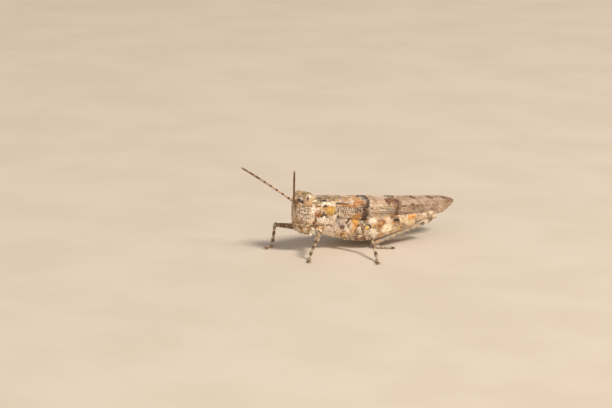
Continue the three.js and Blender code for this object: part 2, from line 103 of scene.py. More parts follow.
def fade(value, low, high):
    """1 below low, 0 above high, and smooth between."""
    return 1 - smooth(value, low, high)


def bell(value, width):
    """1 where the value is 0, falling to about a third at width."""
    return np.exp(-((value / width) ** 2))


def unit(vectors):
    """The same directions at length 1."""
    return vectors / np.maximum(np.linalg.norm(vectors, axis=-1, keepdims=True), 1e-12)


def mirrored(points):
    """The points with those of the right side moved to their places on the left."""
    return points * [1, 0, 1] - np.abs(points) * [0, 1, 0]


def hashed(cell, seed):
    """A repeatable random number from 0 to 1 for each cell of a lattice."""
    n = cell[..., 0] * 374761393 + cell[..., 1] * 668265263 + cell[..., 2] * 1440662683 + seed * 974711
    n = (n ^ (n >> 13)) * 1274126177
    n = n ^ (n >> 16)
    return (n & 0xFFFFFF) / 0xFFFFFF


def noise(points, size, seed=0):
    """Smooth noise from -1 to 1, with features about size across."""
    q = points / size
    base = np.floor(q).astype(np.int64)
    f = q - base
    f = f * f * (3 - 2 * f)
    total = 0
    for corner in np.ndindex(2, 2, 2):
        share = np.prod(np.where(corner, f, 1 - f), axis=-1)
        total = total + share * hashed(base + corner, seed)
    return 2 * total - 1


def rough_noise(points, size, seed=0, octaves=3):
    """Noise with finer noise on it, from about -1 to 1."""
    return sum(noise(points, size / 2**k, seed + k) / 2**k for k in range(octaves)) / 1.6


def scattered(points, size, seed):
    """The distance to the nearest of many scattered points, as a share of their spacing, and its number."""
    q = points / size
    base = np.floor(q).astype(np.int64)
    nearest = np.full(q.shape[:-1], 9.0)
    number = np.zeros(q.shape[:-1])
    for step in np.ndindex(3, 3, 3):
        cell = base + np.array(step) - 1
        centre = cell + np.stack([hashed(cell, seed + k) for k in range(3)], -1)
        distance = np.linalg.norm(q - centre, axis=-1)
        closer = distance < nearest
        nearest = np.where(closer, distance, nearest)
        number = np.where(closer, hashed(cell, seed + 3), number)
    return nearest, number


def grains(points, size, seed):
    """1 at scattered points and 0 between them, for a shell with a fine grain."""
    return fade(scattered(points, size, seed)[0], 0.1, 0.5)
# ---------------------------------------------------------------- colours
def srgb(red, green, blue):
    """An 8-bit colour as the linear values that shaders take."""
    c = np.array([red, green, blue]) / 255
    return np.where(c <= 0.04045, c / 12.92, ((c + 0.055) / 1.055) ** 2.4)


CREAM = srgb(232, 208, 174)
WHITE = srgb(244, 226, 200)
SAND = srgb(204, 172, 138)
TAN = srgb(178, 140, 104)

LILAC = srgb(212, 192, 172)
OCHRE = srgb(206, 148, 78)
MUSTARD = srgb(214, 166, 74)
RUST = srgb(160, 96, 46)
BROWN = srgb(112, 76, 48)
DARK = srgb(62, 42, 27)
BLACK = srgb(34, 25, 20)
OLIVE = srgb(144, 118, 78)
BLUE_GREY = srgb(140, 142, 140)
DOT_BROWN = srgb(128, 90, 56)


DOTS, FLECKS = 0, 1  # the texture marks that paint can change; the third is grain


class Paint:
    """Colours and texture marks on points, painted on in layers.

    A colour is one of the named ones, or three 8-bit numbers. Shares run from 0 to 1. Patches and strokes are
    placed on the left side and appear on both.
    """

    def __init__(self, points, base, dots=0.3, flecks=0.2, grain=0.5):
        self.points = points
        self.side = mirrored(points)
        self.colour = np.ones(points.shape) * self.mixed(base)
        self.marks = np.ones(points.shape) * [dots, flecks, grain]
        self.wobble = np.stack([
            rough_noise(points, 0.6, seed, 4) + 0.55 * rough_noise(points, 0.17, seed + 40, 2)
            for seed in (11, 12, 13)], -1)

    @staticmethod
    def mixed(colour):
        return srgb(*colour) if isinstance(colour, tuple) else colour

    def wash(self, colour, share):
        """A thin even coat."""
        self.colour += (self.mixed(colour) - self.colour) * np.clip(share, 0, 1)[..., None]

    def mark(self, channel, value, share):
        """Moves a texture mark, DOTS or FLECKS, towards a value."""
        layer = self.marks[..., channel]
        layer += (value - layer) * np.clip(share, 0, 1)

    def lay(self, colour, cover):
        """A coat with fewer dots and flecks than the ground, and cloudy within."""
        cloud = 1 + 0.16 * self.wobble[..., 0] + 0.12 * self.wobble[..., 2]
        self.wash(self.mixed(colour) * cloud[..., None], cover)
        self.mark(DOTS, 0.12, cover)
        self.mark(FLECKS, 0.14, cover)

    def blob(self, colour, centre, size, share=1.0, soft=0.3, ragged=0.14):
        """A patch round centre. size is its half length along each axis."""
        reach = np.linalg.norm((self.side + ragged * self.wobble - centre) / size, axis=-1)
        self.lay(colour, share * fade(reach, 1 - soft, 1 + soft))

    def stroke(self, colour, width, path, share=1.0, soft=0.3, ragged=0.1, points=None):
        """A brush stroke along a path of points. width is its half width."""
        points = self.side if points is None else points
        points = points + ragged * self.wobble[..., :points.shape[-1]]
        path = np.array(path, float)
        nearest = np.full(points.shape[:-1], 1e9)
        for start, end in zip(path[:-1], path[1:]):
            way = end - start
            t = np.clip(np.sum((points - start) * way, -1) / np.sum(way * way), 0, 1)
            nearest = np.minimum(nearest, np.linalg.norm(points - start - t[..., None] * way, axis=-1))
        self.lay(colour, share * fade(nearest / width, 1 - soft, 1 + soft))

    def mottle(self, colour, size, amount, seed, share=0.8, where=1.0):
        """Cloudy patches. size is that of the largest, and amount is about the share of the surface they cover."""
        cloud = rough_noise(self.points, size, seed, 4)
        edge = 0.62 * (1 - 2 * amount)
        self.wash(colour, share * smooth(cloud, edge - 0.06, edge + 0.12) * where)


# ---------------------------------------------------------------- shapes
def grid_faces(rows, columns, wrap):
    """The four-sided faces between the points of a grid, closed round across it if wrap is true."""
    r, c = np.meshgrid(np.arange(rows - 1), np.arange(columns if wrap else columns - 1), indexing="ij")
    a, b = r * columns + c, r * columns + (c + 1) % columns
    return np.stack([a, b, b + columns, a + columns], -1).reshape(-1, 4)


def grid_normals(grid, wrap=True):
    """Directions square to a grid. On a closed tube they point outwards."""
    along = np.gradient(grid, axis=0)
    across = np.roll(grid, -1, 1) - np.roll(grid, 1, 1) if wrap else np.gradient(grid, axis=1)
    normals = unit(np.cross(along, across))
    if wrap and np.mean(np.sum(normals * (grid - grid.mean(1, keepdims=True)), -1)) < 0:
        normals = -normals
    return normals


def raised(grid, height, wrap=True):
    """The grid moved out along its normals."""
    return grid + grid_normals(grid, wrap) * height[..., None]


def outward(points, faces):
    """The same faces, turned if they face inwards."""
    six = 0
    for kind in faces:
        for k in range(1, kind.shape[1] - 1):
            a, b, c = points[kind[:, 0]], points[kind[:, k]], points[kind[:, k + 1]]
            six += np.sum(a * np.cross(b, c))
    return faces if six > 0 else [kind[:, ::-1] for kind in faces]


CONE_LEVELS = (-0.1, 1.0), (0.35, 0.75), (0.7, 0.42), (1.0, 0.08)  # how far along, and the share of the radius


class Shape:
    """The points, faces, colours and marks of one piece."""

    def __init__(self, rings=None, paint=None):
        self.parts = []
        if rings is not None:
            self.painted(rings, paint)

    def add(self, points, faces, colour, marks):
        points = points.reshape(-1, 3)
        colour = np.broadcast_to(np.asarray(colour, float).reshape(-1, 3), points.shape)
        marks = np.broadcast_to(np.asarray(marks, float).reshape(-1, 3), points.shape)
        self.parts.append((points, faces, colour, marks))

    def closed(self, rings, colour, marks=(0.2, 0.1, 0.5)):
        """Adds a body from rings of equally many points, with its ends filled."""
        rows, columns = rings.shape[:2]
        points = np.concatenate([rings.reshape(-1, 3), rings[[0, -1]].mean(1)])
        last = (rows - 1) * columns
        s = np.arange(columns)
        n = (s + 1) % columns
        first_cap = np.stack([np.full(columns, rows * columns), n, s], -1)
        last_cap = np.stack([np.full(columns, rows * columns + 1), last + s, last + n], -1)
        faces = outward(points - points.mean(0), [grid_faces(rows, columns, True), first_cap, last_cap])

        def with_ends(values):
            values = np.broadcast_to(values, rings.shape)
            return np.concatenate([values.reshape(-1, 3), values[[0, -1]].mean(1)])

        self.add(points, faces, with_ends(colour), with_ends(marks))

    def painted(self, rings, paint):
        """Adds a body with the paint of its points."""
        self.closed(rings, paint.colour, paint.marks)

    def plate(self, grid, thickness, paint):
        """Adds a thin shell under a grid of outer points, rounded at its margins."""
        rows, columns = grid.shape[:2]
        normals = grid_normals(grid, wrap=False)
        r = np.minimum(np.arange(rows), np.arange(rows)[::-1])[:, None]
        c = np.minimum(np.arange(columns), np.arange(columns)[::-1])[None, :]
        edge = np.clip(np.minimum(r, c) / 3, 0, 1)
        depth = thickness * (0.25 + 0.75 * np.sqrt(edge))
        inner = grid - normals * depth[..., None]
        ring = np.concatenate([grid, inner[:, ::-1]], 1)
        faces = [grid_faces(rows, 2 * columns, True)]
        j = np.arange(columns - 1)
        first = np.stack([j, 2 * columns - 1 - j, 2 * columns - 2 - j, j + 1], -1)
        faces.append(first)
        faces.append(first[:, ::-1] + (rows - 1) * 2 * columns)
        # The inner face takes the outer paint darkened to four fifths, as painted shade.
        colour = np.concatenate([paint.colour, paint.colour[:, ::-1] * 0.8], 1)
        marks = np.concatenate([paint.marks, paint.marks[:, ::-1]], 1)
        points = ring.reshape(-1, 3)
        self.add(points, outward(points - points.mean(0), faces), colour, marks)

    def cones(self, roots, ways, length, radius, colour, tip_colour=None, bend=(0, 0, 0), sides=5):
        """Adds a cone at each root. Each bends a little on its way to its tip."""
        roots = np.atleast_2d(roots)
        ways = np.broadcast_to(unit(ways), roots.shape)
        count = len(roots)
        length = np.broadcast_to(length, count)[:, None]
        radius = np.broadcast_to(radius, count)
        across = unit(np.cross(ways, np.where(np.abs(ways[:, 2:]) < 0.9, [0, 0, 1.0], [1.0, 0, 0])))
        third = np.cross(ways, across)
        turn = turns(sides)
        circle = across[:, None] * np.cos(turn)[None, :, None] + third[:, None] * np.sin(turn)[None, :, None]
        rings = []
        for t, share in CONE_LEVELS:
            middle = roots + (ways * t + np.array(bend) * t * t) * length
            rings.append(middle[:, None] + circle * (radius * share)[:, None, None])
        points = np.stack(rings, 1).reshape(-1, 3)
        levels = len(CONE_LEVELS)
        quads = grid_faces(levels, sides, True)
        ends = np.arange(sides)
        caps = np.stack([ends[::-1], (levels - 1) * sides + ends])
        start = (np.arange(count) * levels * sides)[:, None, None]
        shade = np.linspace(0, 1, levels) ** 2
        tip_colour = colour if tip_colour is None else tip_colour
        colours = colour + shade[:, None] * (tip_colour - colour)
        colours = np.tile(np.repeat(colours, sides, 0), (count, 1))
        faces = [(quads[None] + start).reshape(-1, 4), (caps[None] + start).reshape(-1, sides)]
        self.add(points, faces, colours, (0, 0, 0.2))

    def finish(self, name, material, slot, *nodes):
        """Makes the piece and lets it stand for the model's nodes."""
        points, faces, colours, marks = zip(*self.parts)
        first = np.cumsum([0] + [len(part) for part in points])
        corners = np.concatenate([(kind + start).ravel() for part, start in zip(faces, first) for kind in part])
        sizes = np.concatenate([np.full(len(kind), kind.shape[1]) for part in faces for kind in part])
        points = (np.concatenate(points) + SHIFT) * MM
        mesh = bpy.data.meshes.new(name)
        mesh.vertices.add(len(points))
        mesh.vertices.foreach_set("co", points.ravel().astype(np.float32))
        mesh.loops.add(len(corners))
        mesh.loops.foreach_set("vertex_index", corners.astype(np.int32))
        mesh.polygons.add(len(sizes))
        starts = np.concatenate([[0], np.cumsum(sizes)[:-1]])
        mesh.polygons.foreach_set("loop_start", starts.astype(np.int32))
        mesh.polygons.foreach_set("use_smooth", np.ones(len(sizes), bool))
        for label, values in (("paint", colours), ("marks", marks)):
            rgba = np.ones((len(points), 4), np.float32)
            rgba[:, :3] = np.clip(np.concatenate(values), 0, 1)
            mesh.attributes.new(label, "FLOAT_COLOR", "POINT").data.foreach_set("color", rgba.ravel())
        mesh.update(calc_edges=True)
        mesh.validate()
        piece = bpy.data.objects.new(name, mesh)
        bpy.context.scene.collection.objects.link(piece)
        mesh.materials.append(material)
        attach(piece, "root")
        if nodes:
            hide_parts(*nodes)
        return piece


def barrel(x, top, bottom, half_width, sides, power=2.3, swell=1.0):
    """Rings along x whose sections are rounded rectangles between a top line and a bottom line."""
    turn = turns(sides)
    centre, tall = (top(x) + bottom(x)) / 2, (top(x) - bottom(x)) / 2 * swell
    y = (half_width(x) * swell)[:, None] * signed_power(np.sin(turn), 2 / power)
    return stacked(x[:, None], y, centre[:, None] + tall[:, None] * signed_power(np.cos(turn), 2 / power))


def tube(path, wide, tall=None, low=None, sides=24, up=(0, 0, 1), power=1.0):
    """Rings along a path. wide is the reach sideways, tall the reach upwards and low the reach downwards."""
    tall = wide if tall is None else tall
    low = tall if low is None else low
    along = unit(np.gradient(path, axis=0))
    side = unit(np.cross(along, np.array(up, float)))
    rise = np.cross(side, along)
    turn = turns(sides, 0.5)
    c, s = signed_power(np.cos(turn), power), signed_power(np.sin(turn), power)
    height = np.where(s > 0, s * tall[:, None], s * low[:, None])
    return path[:, None] + side[:, None] * (wide[:, None] * c)[..., None] + rise[:, None] * height[..., None]


def eased(count):
    """Numbers from 0 to 1, closer together towards both ends."""
    return (1 - np.cos(np.pi * np.linspace(0, 1, count))) / 2


def between(start, end, t):
    """Points at shares t of the way from start to end."""
    return np.asarray(start) + (np.asarray(end) - start) * t[:, None]


def rounded(t, head=0.05, tail=0.05):
    """1 along a limb, closing roundly over its first and last shares."""
    first = np.sqrt(np.clip(1 - (1 - t / head) ** 2, 0.0004, 1)) * (t < head) + (t >= head)
    last = np.sqrt(np.clip(1 - (1 - (1 - t) / tail) ** 2, 0.0004, 1)) * (t > 1 - tail) + (t <= 1 - tail)
    return first * last


# ---------------------------------------------------------------- materials
class Nodes:
    """Builds one material's node tree."""

    def __init__(self, name):
        self.material = bpy.data.materials.new(name)
        self.material.use_nodes = True
        self.tree = self.material.node_tree
        self.tree.nodes.clear()

    def add(self, kind, inputs=None, **settings):
        """A node with its inputs set or linked."""
        made = self.tree.nodes.new("ShaderNode" + kind)
        for key, value in settings.items():
            setattr(made, key, value)
        for key, value in (inputs or {}).items():
            if isinstance(value, bpy.types.NodeSocket):
                self.tree.links.new(value, made.inputs[key])
            else:
                made.inputs[key].default_value = value
        return made

    def place(self, stretch=(1, 1, 1)):
        """Places on the piece, in millimetres."""
        place = self.add("TexCoord").outputs["Object"]
        return self.add("Mapping", {"Vector": place, "Scale": [1 / MM / s for s in stretch]}).outputs[0]

    def painted(self, label):
        """The colours or marks that the piece's points carry."""
        return self.add("Attribute", attribute_name=label).outputs["Color"]

    def noise(self, place, scale, detail, roughness=0.5, output=0):
        inputs = {"Vector": place, "Scale": scale, "Detail": detail, "Roughness": roughness}
        return self.add("TexNoise", inputs).outputs[output]

    def bumps(self, place, scale):
        """The distance to the middle of the nearest of many small rounded cells."""
        return self.add("TexVoronoi", {"Vector": place, "Scale": scale}, feature="SMOOTH_F1").outputs["Distance"]

    def math(self, operation, a, b):
        return self.add("Math", {0: a, 1: b}, operation=operation).outputs[0]

    def times(self, a, b):
        return self.math("MULTIPLY", a, b)

    def less(self, a, b):
        return self.math("SUBTRACT", a, b)

    def scaled(self, vector, share):
        return self.add("VectorMath", {0: vector, "Scale": share}, operation="SCALE").outputs[0]

    def ramp(self, value, low, high, start=0.0, end=1.0):
        """start below low, end above high, and smooth between."""
        inputs = {"Value": value, "From Min": low, "From Max": high, "To Min": start, "To Max": end}
        return self.add("MapRange", inputs, interpolation_type="SMOOTHSTEP").outputs[0]

    def blend(self, share, under, over):
        """One colour over another."""
        return self.add("Mix", {0: share, 6: under, 7: over}, data_type="RGBA", blend_type="MIX").outputs[2]

    def finished(self, inputs):
        """The material, with the shader's inputs."""
        shader = self.add("BsdfPrincipled", inputs)
        self.add("OutputMaterial", {"Surface": shader.outputs[0]})
        return self.material


def cuticle(name, dot_size=0.3, stretch=(1, 1, 1), shine=0.42, relief=0.02):
    """The insect's shell: painted colours, mottled, dotted and grained at its own small scale."""
    n = Nodes(name)
    place = n.place(stretch)
    bend = n.scaled(n.noise(place, 6.0, 4.0, 0.65, "Color"), 0.34)
    bent = n.add("VectorMath", {0: place, 1: bend}, operation="ADD").outputs[0]
    paint = n.painted("paint")
    marks = n.add("SeparateColor", {0: n.painted("marks")})
    dots, flecks, grain = (marks.outputs[k] for k in range(3))

    cloud = n.noise(place, 1.4, 4.0)
    speckle = n.noise(place, 7.0, 6.0, 0.75)
    colour = n.scaled(paint, n.times(n.ramp(cloud, 0.3, 0.7, 0.9, 1.12), n.ramp(speckle, 0.32, 0.68, 0.78, 1.2)))

    # Ochre flecks and brown specks grow with their marks, and pale flecks fade out where there are none.
    ochre = n.noise(bent, 3.4, 4.0, 0.6)
    ochre = n.ramp(n.less(ochre, n.less(0.74, n.times(flecks, 0.34))), 0.0, 0.08)
    colour = n.blend(n.times(ochre, 0.75), colour, (*OCHRE, 1))
    pale = n.noise(bent, 4.6, 4.0, 0.6)
    pale = n.times(n.ramp(pale, 0.56, 0.66, 0.0, 0.6), n.ramp(flecks, 0.0, 0.3, 0.15, 1.0))
    colour = n.blend(pale, colour, (*WHITE, 1))
    brown = n.noise(bent, 5.4, 5.0, 0.7)
    brown = n.ramp(n.less(brown, n.less(0.71, n.times(dots, 0.2))), 0.0, 0.07)
    colour = n.blend(n.times(brown, 0.6), colour, (*BROWN, 1))

    # Dark dots of two sizes, one in some of the cells, each with its own radius and tint.
    dotted = None
    for size, share in ((dot_size, 0.9), (dot_size * 0.45, 0.66)):
        cells = n.add("TexVoronoi", {"Vector": bent, "Scale": 1 / size})
        pick = n.add("SeparateColor", {0: cells.outputs["Color"]})
        present = n.math("LESS_THAN", pick.outputs[0], dots)
        radius = n.add("Math", {0: pick.outputs[1], 1: 0.24, 2: 0.22}, operation="MULTIPLY_ADD").outputs[0]
        disc = n.ramp(n.less(radius, cells.outputs["Distance"]), -0.08, 0.1)
        dot = n.times(n.times(disc, present), share)
        dotted = dot if dotted is None else n.math("MAXIMUM", dotted, dot)
        tint = n.blend(pick.outputs[2], (*DARK, 1), (*DOT_BROWN, 1))
        colour = n.blend(dot, colour, tint)

    granules = n.times(n.ramp(n.bumps(place, 9.0), 0.1, 0.7, 1.0, 0.0), grain)
    fine = n.noise(place, 26.0, 4.0, 0.7)
    height = n.less(n.math("ADD", granules, n.times(fine, 0.6)), n.times(dotted, 0.4))
    bump = n.add("Bump", {"Height": height, "Strength": 0.8, "Distance": relief * MM}).outputs[0]
    rough = n.ramp(speckle, 0.3, 0.7, shine, shine + 0.22)
    return n.finished({"Base Color": colour, "Roughness": rough, "Normal": bump, "Specular IOR Level": 0.4})


def eye_material():
    """A smooth compound eye: fine facets under a clear gloss."""
    n = Nodes("compound_eye")
    place = n.place()
    paint = n.painted("paint")
    colour = n.scaled(paint, n.ramp(n.noise(place, 3.2, 4.0), 0.3, 0.7, 0.86, 1.1))
    facets = {"Height": n.bumps(place, 26.0), "Strength": 0.25, "Distance": 0.004 * MM}
    return n.finished({
        "Base Color": colour, "Roughness": 0.26, "Normal": n.add("Bump", facets, invert=True).outputs[0],
        "Coat Weight": 0.5, "Coat Roughness": 0.12})


SHELL = cuticle("speckled_shell", dot_size=0.34, relief=0.03)
LIMB = cuticle("limb_shell", dot_size=0.24, relief=0.016)
WING = cuticle("leathery_wing", dot_size=0.26, stretch=(1.5, 1, 1), relief=0.014, shine=0.46)
FAN = cuticle("folded_fan", dot_size=0.26, stretch=(6, 1, 1), shine=0.5)
SHIN = cuticle("shin_shell", dot_size=0.2, relief=0.012, shine=0.4)
FEELER = cuticle("antenna_shell", dot_size=0.12, relief=0.008)
GLOSSY = cuticle("horny_mouthparts", dot_size=0.2, relief=0.01, shine=0.28)
COMPOUND = eye_material()

# ---------------------------------------------------------------- outlines shared with the model
BACK = through((3.2, 7.75), (5.3, 7.6), (8.8, 7.22), (12.2, 6.85), (18.3, 6.18), (25.4, 5.5), (27.3, 5.35))
SHOULDER_LINE = through((6.7, 6.6), (8.4, 6.35), (11.3, 5.95), (17.6, 5.3), (23, 4.9), (27.3, 4.7))
SHOULDER_WIDTH = through((6.7, 2.08), (9, 2.14), (14, 1.95), (20, 1.58), (24.5, 1.12), (27.6, 0.55))
WING_LOW = through((5.75, 5.6), (6.7, 4.95), (9, 4.4), (14, 3.75), (20, 3.35), (24.5, 3.3), (27.3, 3.5))
CORE_TOP = through((3.2, 7.0), (5.2, 6.95), (8.1, 6.75), (11.9, 6.1))
CORE_BOTTOM = through((3.2, 3.5), (5.3, 2.1), (8.5, 1.25), (11.9, 0.9))
CORE_WIDTH = through((3.2, 1.45), (5.6, 1.72), (7.4, 2.0), (9.5, 2.15), (11.9, 1.9))
ABDOMEN_TOP = through((12, 5.75), (16, 5.0), (19.5, 4.35), (21.6, 3.6))
ABDOMEN_BOTTOM = through((12, 0.92), (14.5, 0.9), (17.5, 1.2), (20, 1.75), (21.6, 2.5))
ABDOMEN_WIDTH = through((12, 1.62), (15, 1.5), (18.5, 1.2), (21.6, 0.6))


# ---------------------------------------------------------------- head
HEAD_TOP, HEAD_TALL = 8.5, 5.1
# By s, the root of the share of the height below the crown: 0 is the crown and 1 is the mouth's edge.
FACE = through((0, 1.95), (0.08, 1.42), (0.297, 0.72), (0.443, 0.4), (0.61, 0.36), (0.8, 0.42), (0.886, 0.5),
               (0.95, 0.85), (1, 1.3))
NAPE = through((0, 1.95), (0.08, 2.4), (0.28, 3.2), (0.46, 3.45), (0.8, 3.45), (0.94, 3.15), (1, 2.85))
CHEEK = through((0, 0.0), (0.08, 0.5), (0.28, 1.1), (0.485, 1.45), (0.64, 1.72), (0.767, 1.8), (0.874, 1.68),
                (0.95, 1.4), (1, 1.0))
SOCKET = np.array([0.45, 0.58, 7.38])


def eye_reach(points):
    """How far points lie from the nearer eye's centre, as a share of the eye's surface."""
    side = mirrored(points) - EYE
    x, y, z = np.moveaxis(side, -1, 0)
    c, s = math.cos(EYE_TILT), math.sin(EYE_TILT)
    return np.linalg.norm(stacked(c * x - s * z, y, s * x + c * z) / EYE_SIZE, axis=-1)


def head():
    """The head shell: face with its ridge, antenna pits, rims round the eyes, a groove below each eye and a crown."""
    s = np.linspace(0.015, 1, 170)[:, None]
    turn = turns(260)
    front = np.cos(turn) < 0
    long = (NAPE(s) - FACE(s)) / 2
    x = (FACE(s) + NAPE(s)) / 2 + long * signed_power(np.cos(turn), np.where(front, 0.98, 0.74))
    y = CHEEK(s) * signed_power(np.sin(turn), np.where(front, 1.04, 0.7))
    grid = stacked(x, y, HEAD_TOP - HEAD_TALL * s**2)
    x, y, z = np.moveaxis(grid, -1, 0)
    far = np.abs(y)
    face = smooth(-np.cos(turn), 0.1, 0.5)
    # The ridge down the face, with raised edges and a furrow between them, and a fainter one down each cheek.
    ridge_place = through((4.2, 0.34), (5.4, 0.24), (6.4, 0.2), (7.1, 0.25), (7.9, 0.2), (8.4, 0.34))(z)
    tall = smooth(z, 4.3, 4.7) * fade(z, 8.3, 8.5)
    height = face * tall * 0.17 * fade(far, ridge_place + 0.02, ridge_place + 0.1)
    height += face * tall * 0.06 * bell(far - ridge_place, 0.045)
    height -= face * tall * 0.07 * bell(far, ridge_place * 0.45)
    cheek_ridge = through((4.4, 0.98), (5.6, 0.8), (6.9, 0.78))(z)
    height += face * smooth(z, 4.3, 4.6) * fade(z, 6.8, 7.1) * 0.06 * bell(far - cheek_ridge, 0.06)
    # The antennae's sockets, the rims round the eyes and the groove below each eye.
    socket = np.hypot(far - SOCKET[1], z - SOCKET[2])
    height += face * (0.05 * bell(socket - 0.3, 0.06) - 0.09 * fade(socket, 0.16, 0.28))
    reach = eye_reach(grid)
    height += 0.06 * bell(reach - 1.12, 0.06) - 0.04 * bell(reach - 1.26, 0.06)
    groove = through((4.0, 1.5), (5.2, 1.38), (6.5, 1.52))(z)
    below_eye = smooth(z, 3.8, 4.1) * fade(z, 6.4, 6.65) * smooth(far, 0.9, 1.2)
    height += below_eye * (0.05 * bell(x - groove + 0.12, 0.07) - 0.07 * bell(x - groove, 0.05))
    # The seam above the upper lip, the collar at the nape, and the crown's furrow and shallow pit.
    height -= face * 0.07 * bell(z - 4.42 - 0.1 * np.cos(far * 2), 0.05) * fade(far, 0.95, 1.1)
    height += 0.05 * smooth(x, 2.75, 3.05) * smooth(far, 0.8, 1.2)
    height -= 0.02 * bell(y, 0.04) * smooth(z, 8.0, 8.2) * smooth(x, 1.3, 1.7)
    crown = bell(np.hypot(x - 1.25, y * 0.8), 0.32) * smooth(z, 7.9, 8.2)
    height -= 0.05 * crown
    # Pits on the cheeks, and the shell's grain.
    pits, number = scattered(grid, 0.2, 21)
    cheek = smooth(x, 0.5, 0.9) * fade(z, 6.7, 7.1)
    height -= cheek * 0.022 * fade(pits, 0.15, 0.42) * (number < 0.75)
    height += 0.022 * rough_noise(grid, 0.5, 22) + 0.012 * grains(grid, 0.13, 23)
    grid = raised(grid, height)

    paint = Paint(grid, CREAM, dots=0.25, flecks=0.35, grain=0.8)
    lower = fade(z + 0.15 * paint.wobble[..., 0], 4.5, 4.95)
    ahead = fade(x, 0.45, 0.95)
    # Cheeks and face, then the darker lower face.
    paint.wash((238, 214, 190), 0.7)
    paint.mottle(WHITE, 0.5, 0.6, 32, 0.9, 1 - 0.6 * ahead)
    paint.wash(SAND, 0.6 * ahead)
    paint.mottle((168, 136, 104), 0.45, 0.5, 34, 0.7, ahead)
    paint.mottle((128, 100, 86), 0.4, 0.44, 35, 0.8, bell(x - 0.75, 0.5) * smooth(z, 5.3, 5.8) * fade(z, 6.5, 6.9))
    paint.wash((220, 184, 132), 0.8 * lower)
    paint.mottle((146, 108, 64), 0.36, 0.44, 33, 0.85, lower)
    paint.mottle(WHITE, 0.3, 0.46, 36, 0.9, lower)
    paint.mottle((200, 158, 104), 0.5, 0.26, 31, 0.55, 1 - lower)
    paint.mottle((122, 88, 56), 0.26, 0.24, 37, 0.7, cheek)
    paint.mark(DOTS, 0.85, cheek * smooth(z, 4.6, 5.0) * bell(x - 1.8, 1.1))
    paint.mark(DOTS, 0.5, lower)
    paint.stroke((140, 92, 50), 0.08, ((0.42, -0.3, 4.78), (0.95, -1.2, 4.72), (1.5, -1.5, 4.6)), 0.7)
    # The olive crown and the marks beside the ridge.
    top = smooth(z, 7.75, 8.15)
    paint.wash(OLIVE, 0.85 * top)
    paint.mottle(MUSTARD, 0.5, 0.5, 38, 0.7, top * smooth(x, 0.9, 1.4))
    paint.mottle((96, 74, 40), 0.4, 0.34, 39, 0.8, top)
    paint.blob((226, 200, 182), (0.85, -0.8, 7.86), (0.55, 0.34, 0.17), 0.85, 0.3, 0.05)
    paint.blob((186, 140, 84), (0.62, -0.85, 6.95), (0.34, 0.4, 0.3), 0.85, 0.35, 0.08)
    paint.blob((120, 88, 56), (1.02, -1.3, 6.78), (0.16, 0.3, 0.12), 0.85, 0.35, 0.05)
    paint.blob(WHITE, (0.9, -1.2, 6.5), (0.3, 0.3, 0.14), 0.7, 0.35, 0.05)
    # The dark streak from the antenna to the eye, then painted shade down the side of the ridge and in its furrow.
    paint.stroke((52, 38, 22), 0.15, ((0.5, -0.6, 7.84), (0.8, -0.95, 7.58)), 0.97, 0.25, 0.05)
    paint.stroke((52, 38, 22), 0.24, ((0.7, -0.9, 7.62), (1.16, -1.14, 7.3)), 0.97, 0.25, 0.05)
    paint.blob((96, 66, 46), (0.3, -0.58, 7.38), (0.3, 0.3, 0.34), 0.85, 0.3, 0.04)
    # Painted shade down the side of the ridge, where the face turns away from the light.
    paint.stroke((110, 82, 66), 0.13, ((0.35, -0.36, 7.0), (0.32, -0.4, 5.2)), 0.65, 0.4, 0.14)
    paint.wash(WHITE, 0.6 * face * tall * bell(far - ridge_place, 0.05) * smooth(paint.wobble[..., 1], -0.5, 0.1))
    # Painted shade in the furrow along the ridge.
    paint.wash((128, 96, 74), 0.5 * face * tall * bell(far, ridge_place * 0.4))
    # Behind the eye.
    paint.blob(OLIVE, (2.7, -1.2, 7.3), (0.6, 0.4, 0.4), 0.85, 0.35, 0.1)
    paint.blob(WHITE, (2.85, -1.2, 7.35), (0.22, 0.4, 0.14), 0.9, 0.3, 0.03)
    paint.blob(DARK, (2.75, -1.3, 7.1), (0.4, 0.4, 0.09), 0.85, 0.4, 0.05)
    paint.blob(DARK, (2.75, -1.1, 7.62), (0.3, 0.4, 0.08), 0.7, 0.4, 0.05)
    paint.stroke(WHITE, 0.13, ((2.0, -1.6, 6.42), (2.6, -1.65, 6.5), (3.1, -1.6, 6.2)), 0.9, 0.3, 0.1)
    paint.blob((170, 112, 58), (3.0, -1.6, 5.5), (0.34, 0.5, 0.44), 0.8, 0.4, 0.2)
    paint.blob(DARK, (2.9, -1.5, 5.0), (0.2, 0.5, 0.16), 0.8, 0.4, 0.1)
    paint.stroke(WHITE, 0.12, ((2.5, -1.7, 6.1), (2.75, -1.7, 5.7)), 0.8, 0.35, 0.1)
    paint.wash(BROWN, 0.7 * bell(reach - 1.2, 0.05))
    paint.wash(BROWN, 0.5 * below_eye * bell(x - groove, 0.05))
    piece = Shape(grid, paint)
    for place in ((0.2, 0, 6.98), (0.86, -0.78, 8.0), (0.86, 0.78, 8.0)):
        piece.closed(ball(place, (0.07, 0.08, 0.08), 20, 12), srgb(206, 160, 96), (0, 0, 0))
    hairs(piece, grid, 160, 0.1, lambda p: (p[:, 2] < 7.2) & (p[:, 0] < 2.6), radius=0.007)
    piece.finish("head_shell", SHELL, "cuticle", "head")


def ball(centre, size, around=24, down=16, tilt=0.0):
    """Rings of an egg shape. The first and last are small, and the ends close them."""
    fall = np.linspace(0.04, 1, down) * np.pi * 0.985
    turn = turns(around)
    wide = np.sin(fall)[:, None]
    x, y, z = np.moveaxis(stacked(wide * np.cos(turn), wide * np.sin(turn), np.cos(fall)[:, None]) * size, -1, 0)
    c, s = math.cos(tilt), math.sin(tilt)
    return stacked(c * x + s * z, y, c * z - s * x) + centre


PUPIL_WAY = unit(np.array([-0.5, -0.8, 0.42]))  # where the left eye's dark spot lies, from its centre


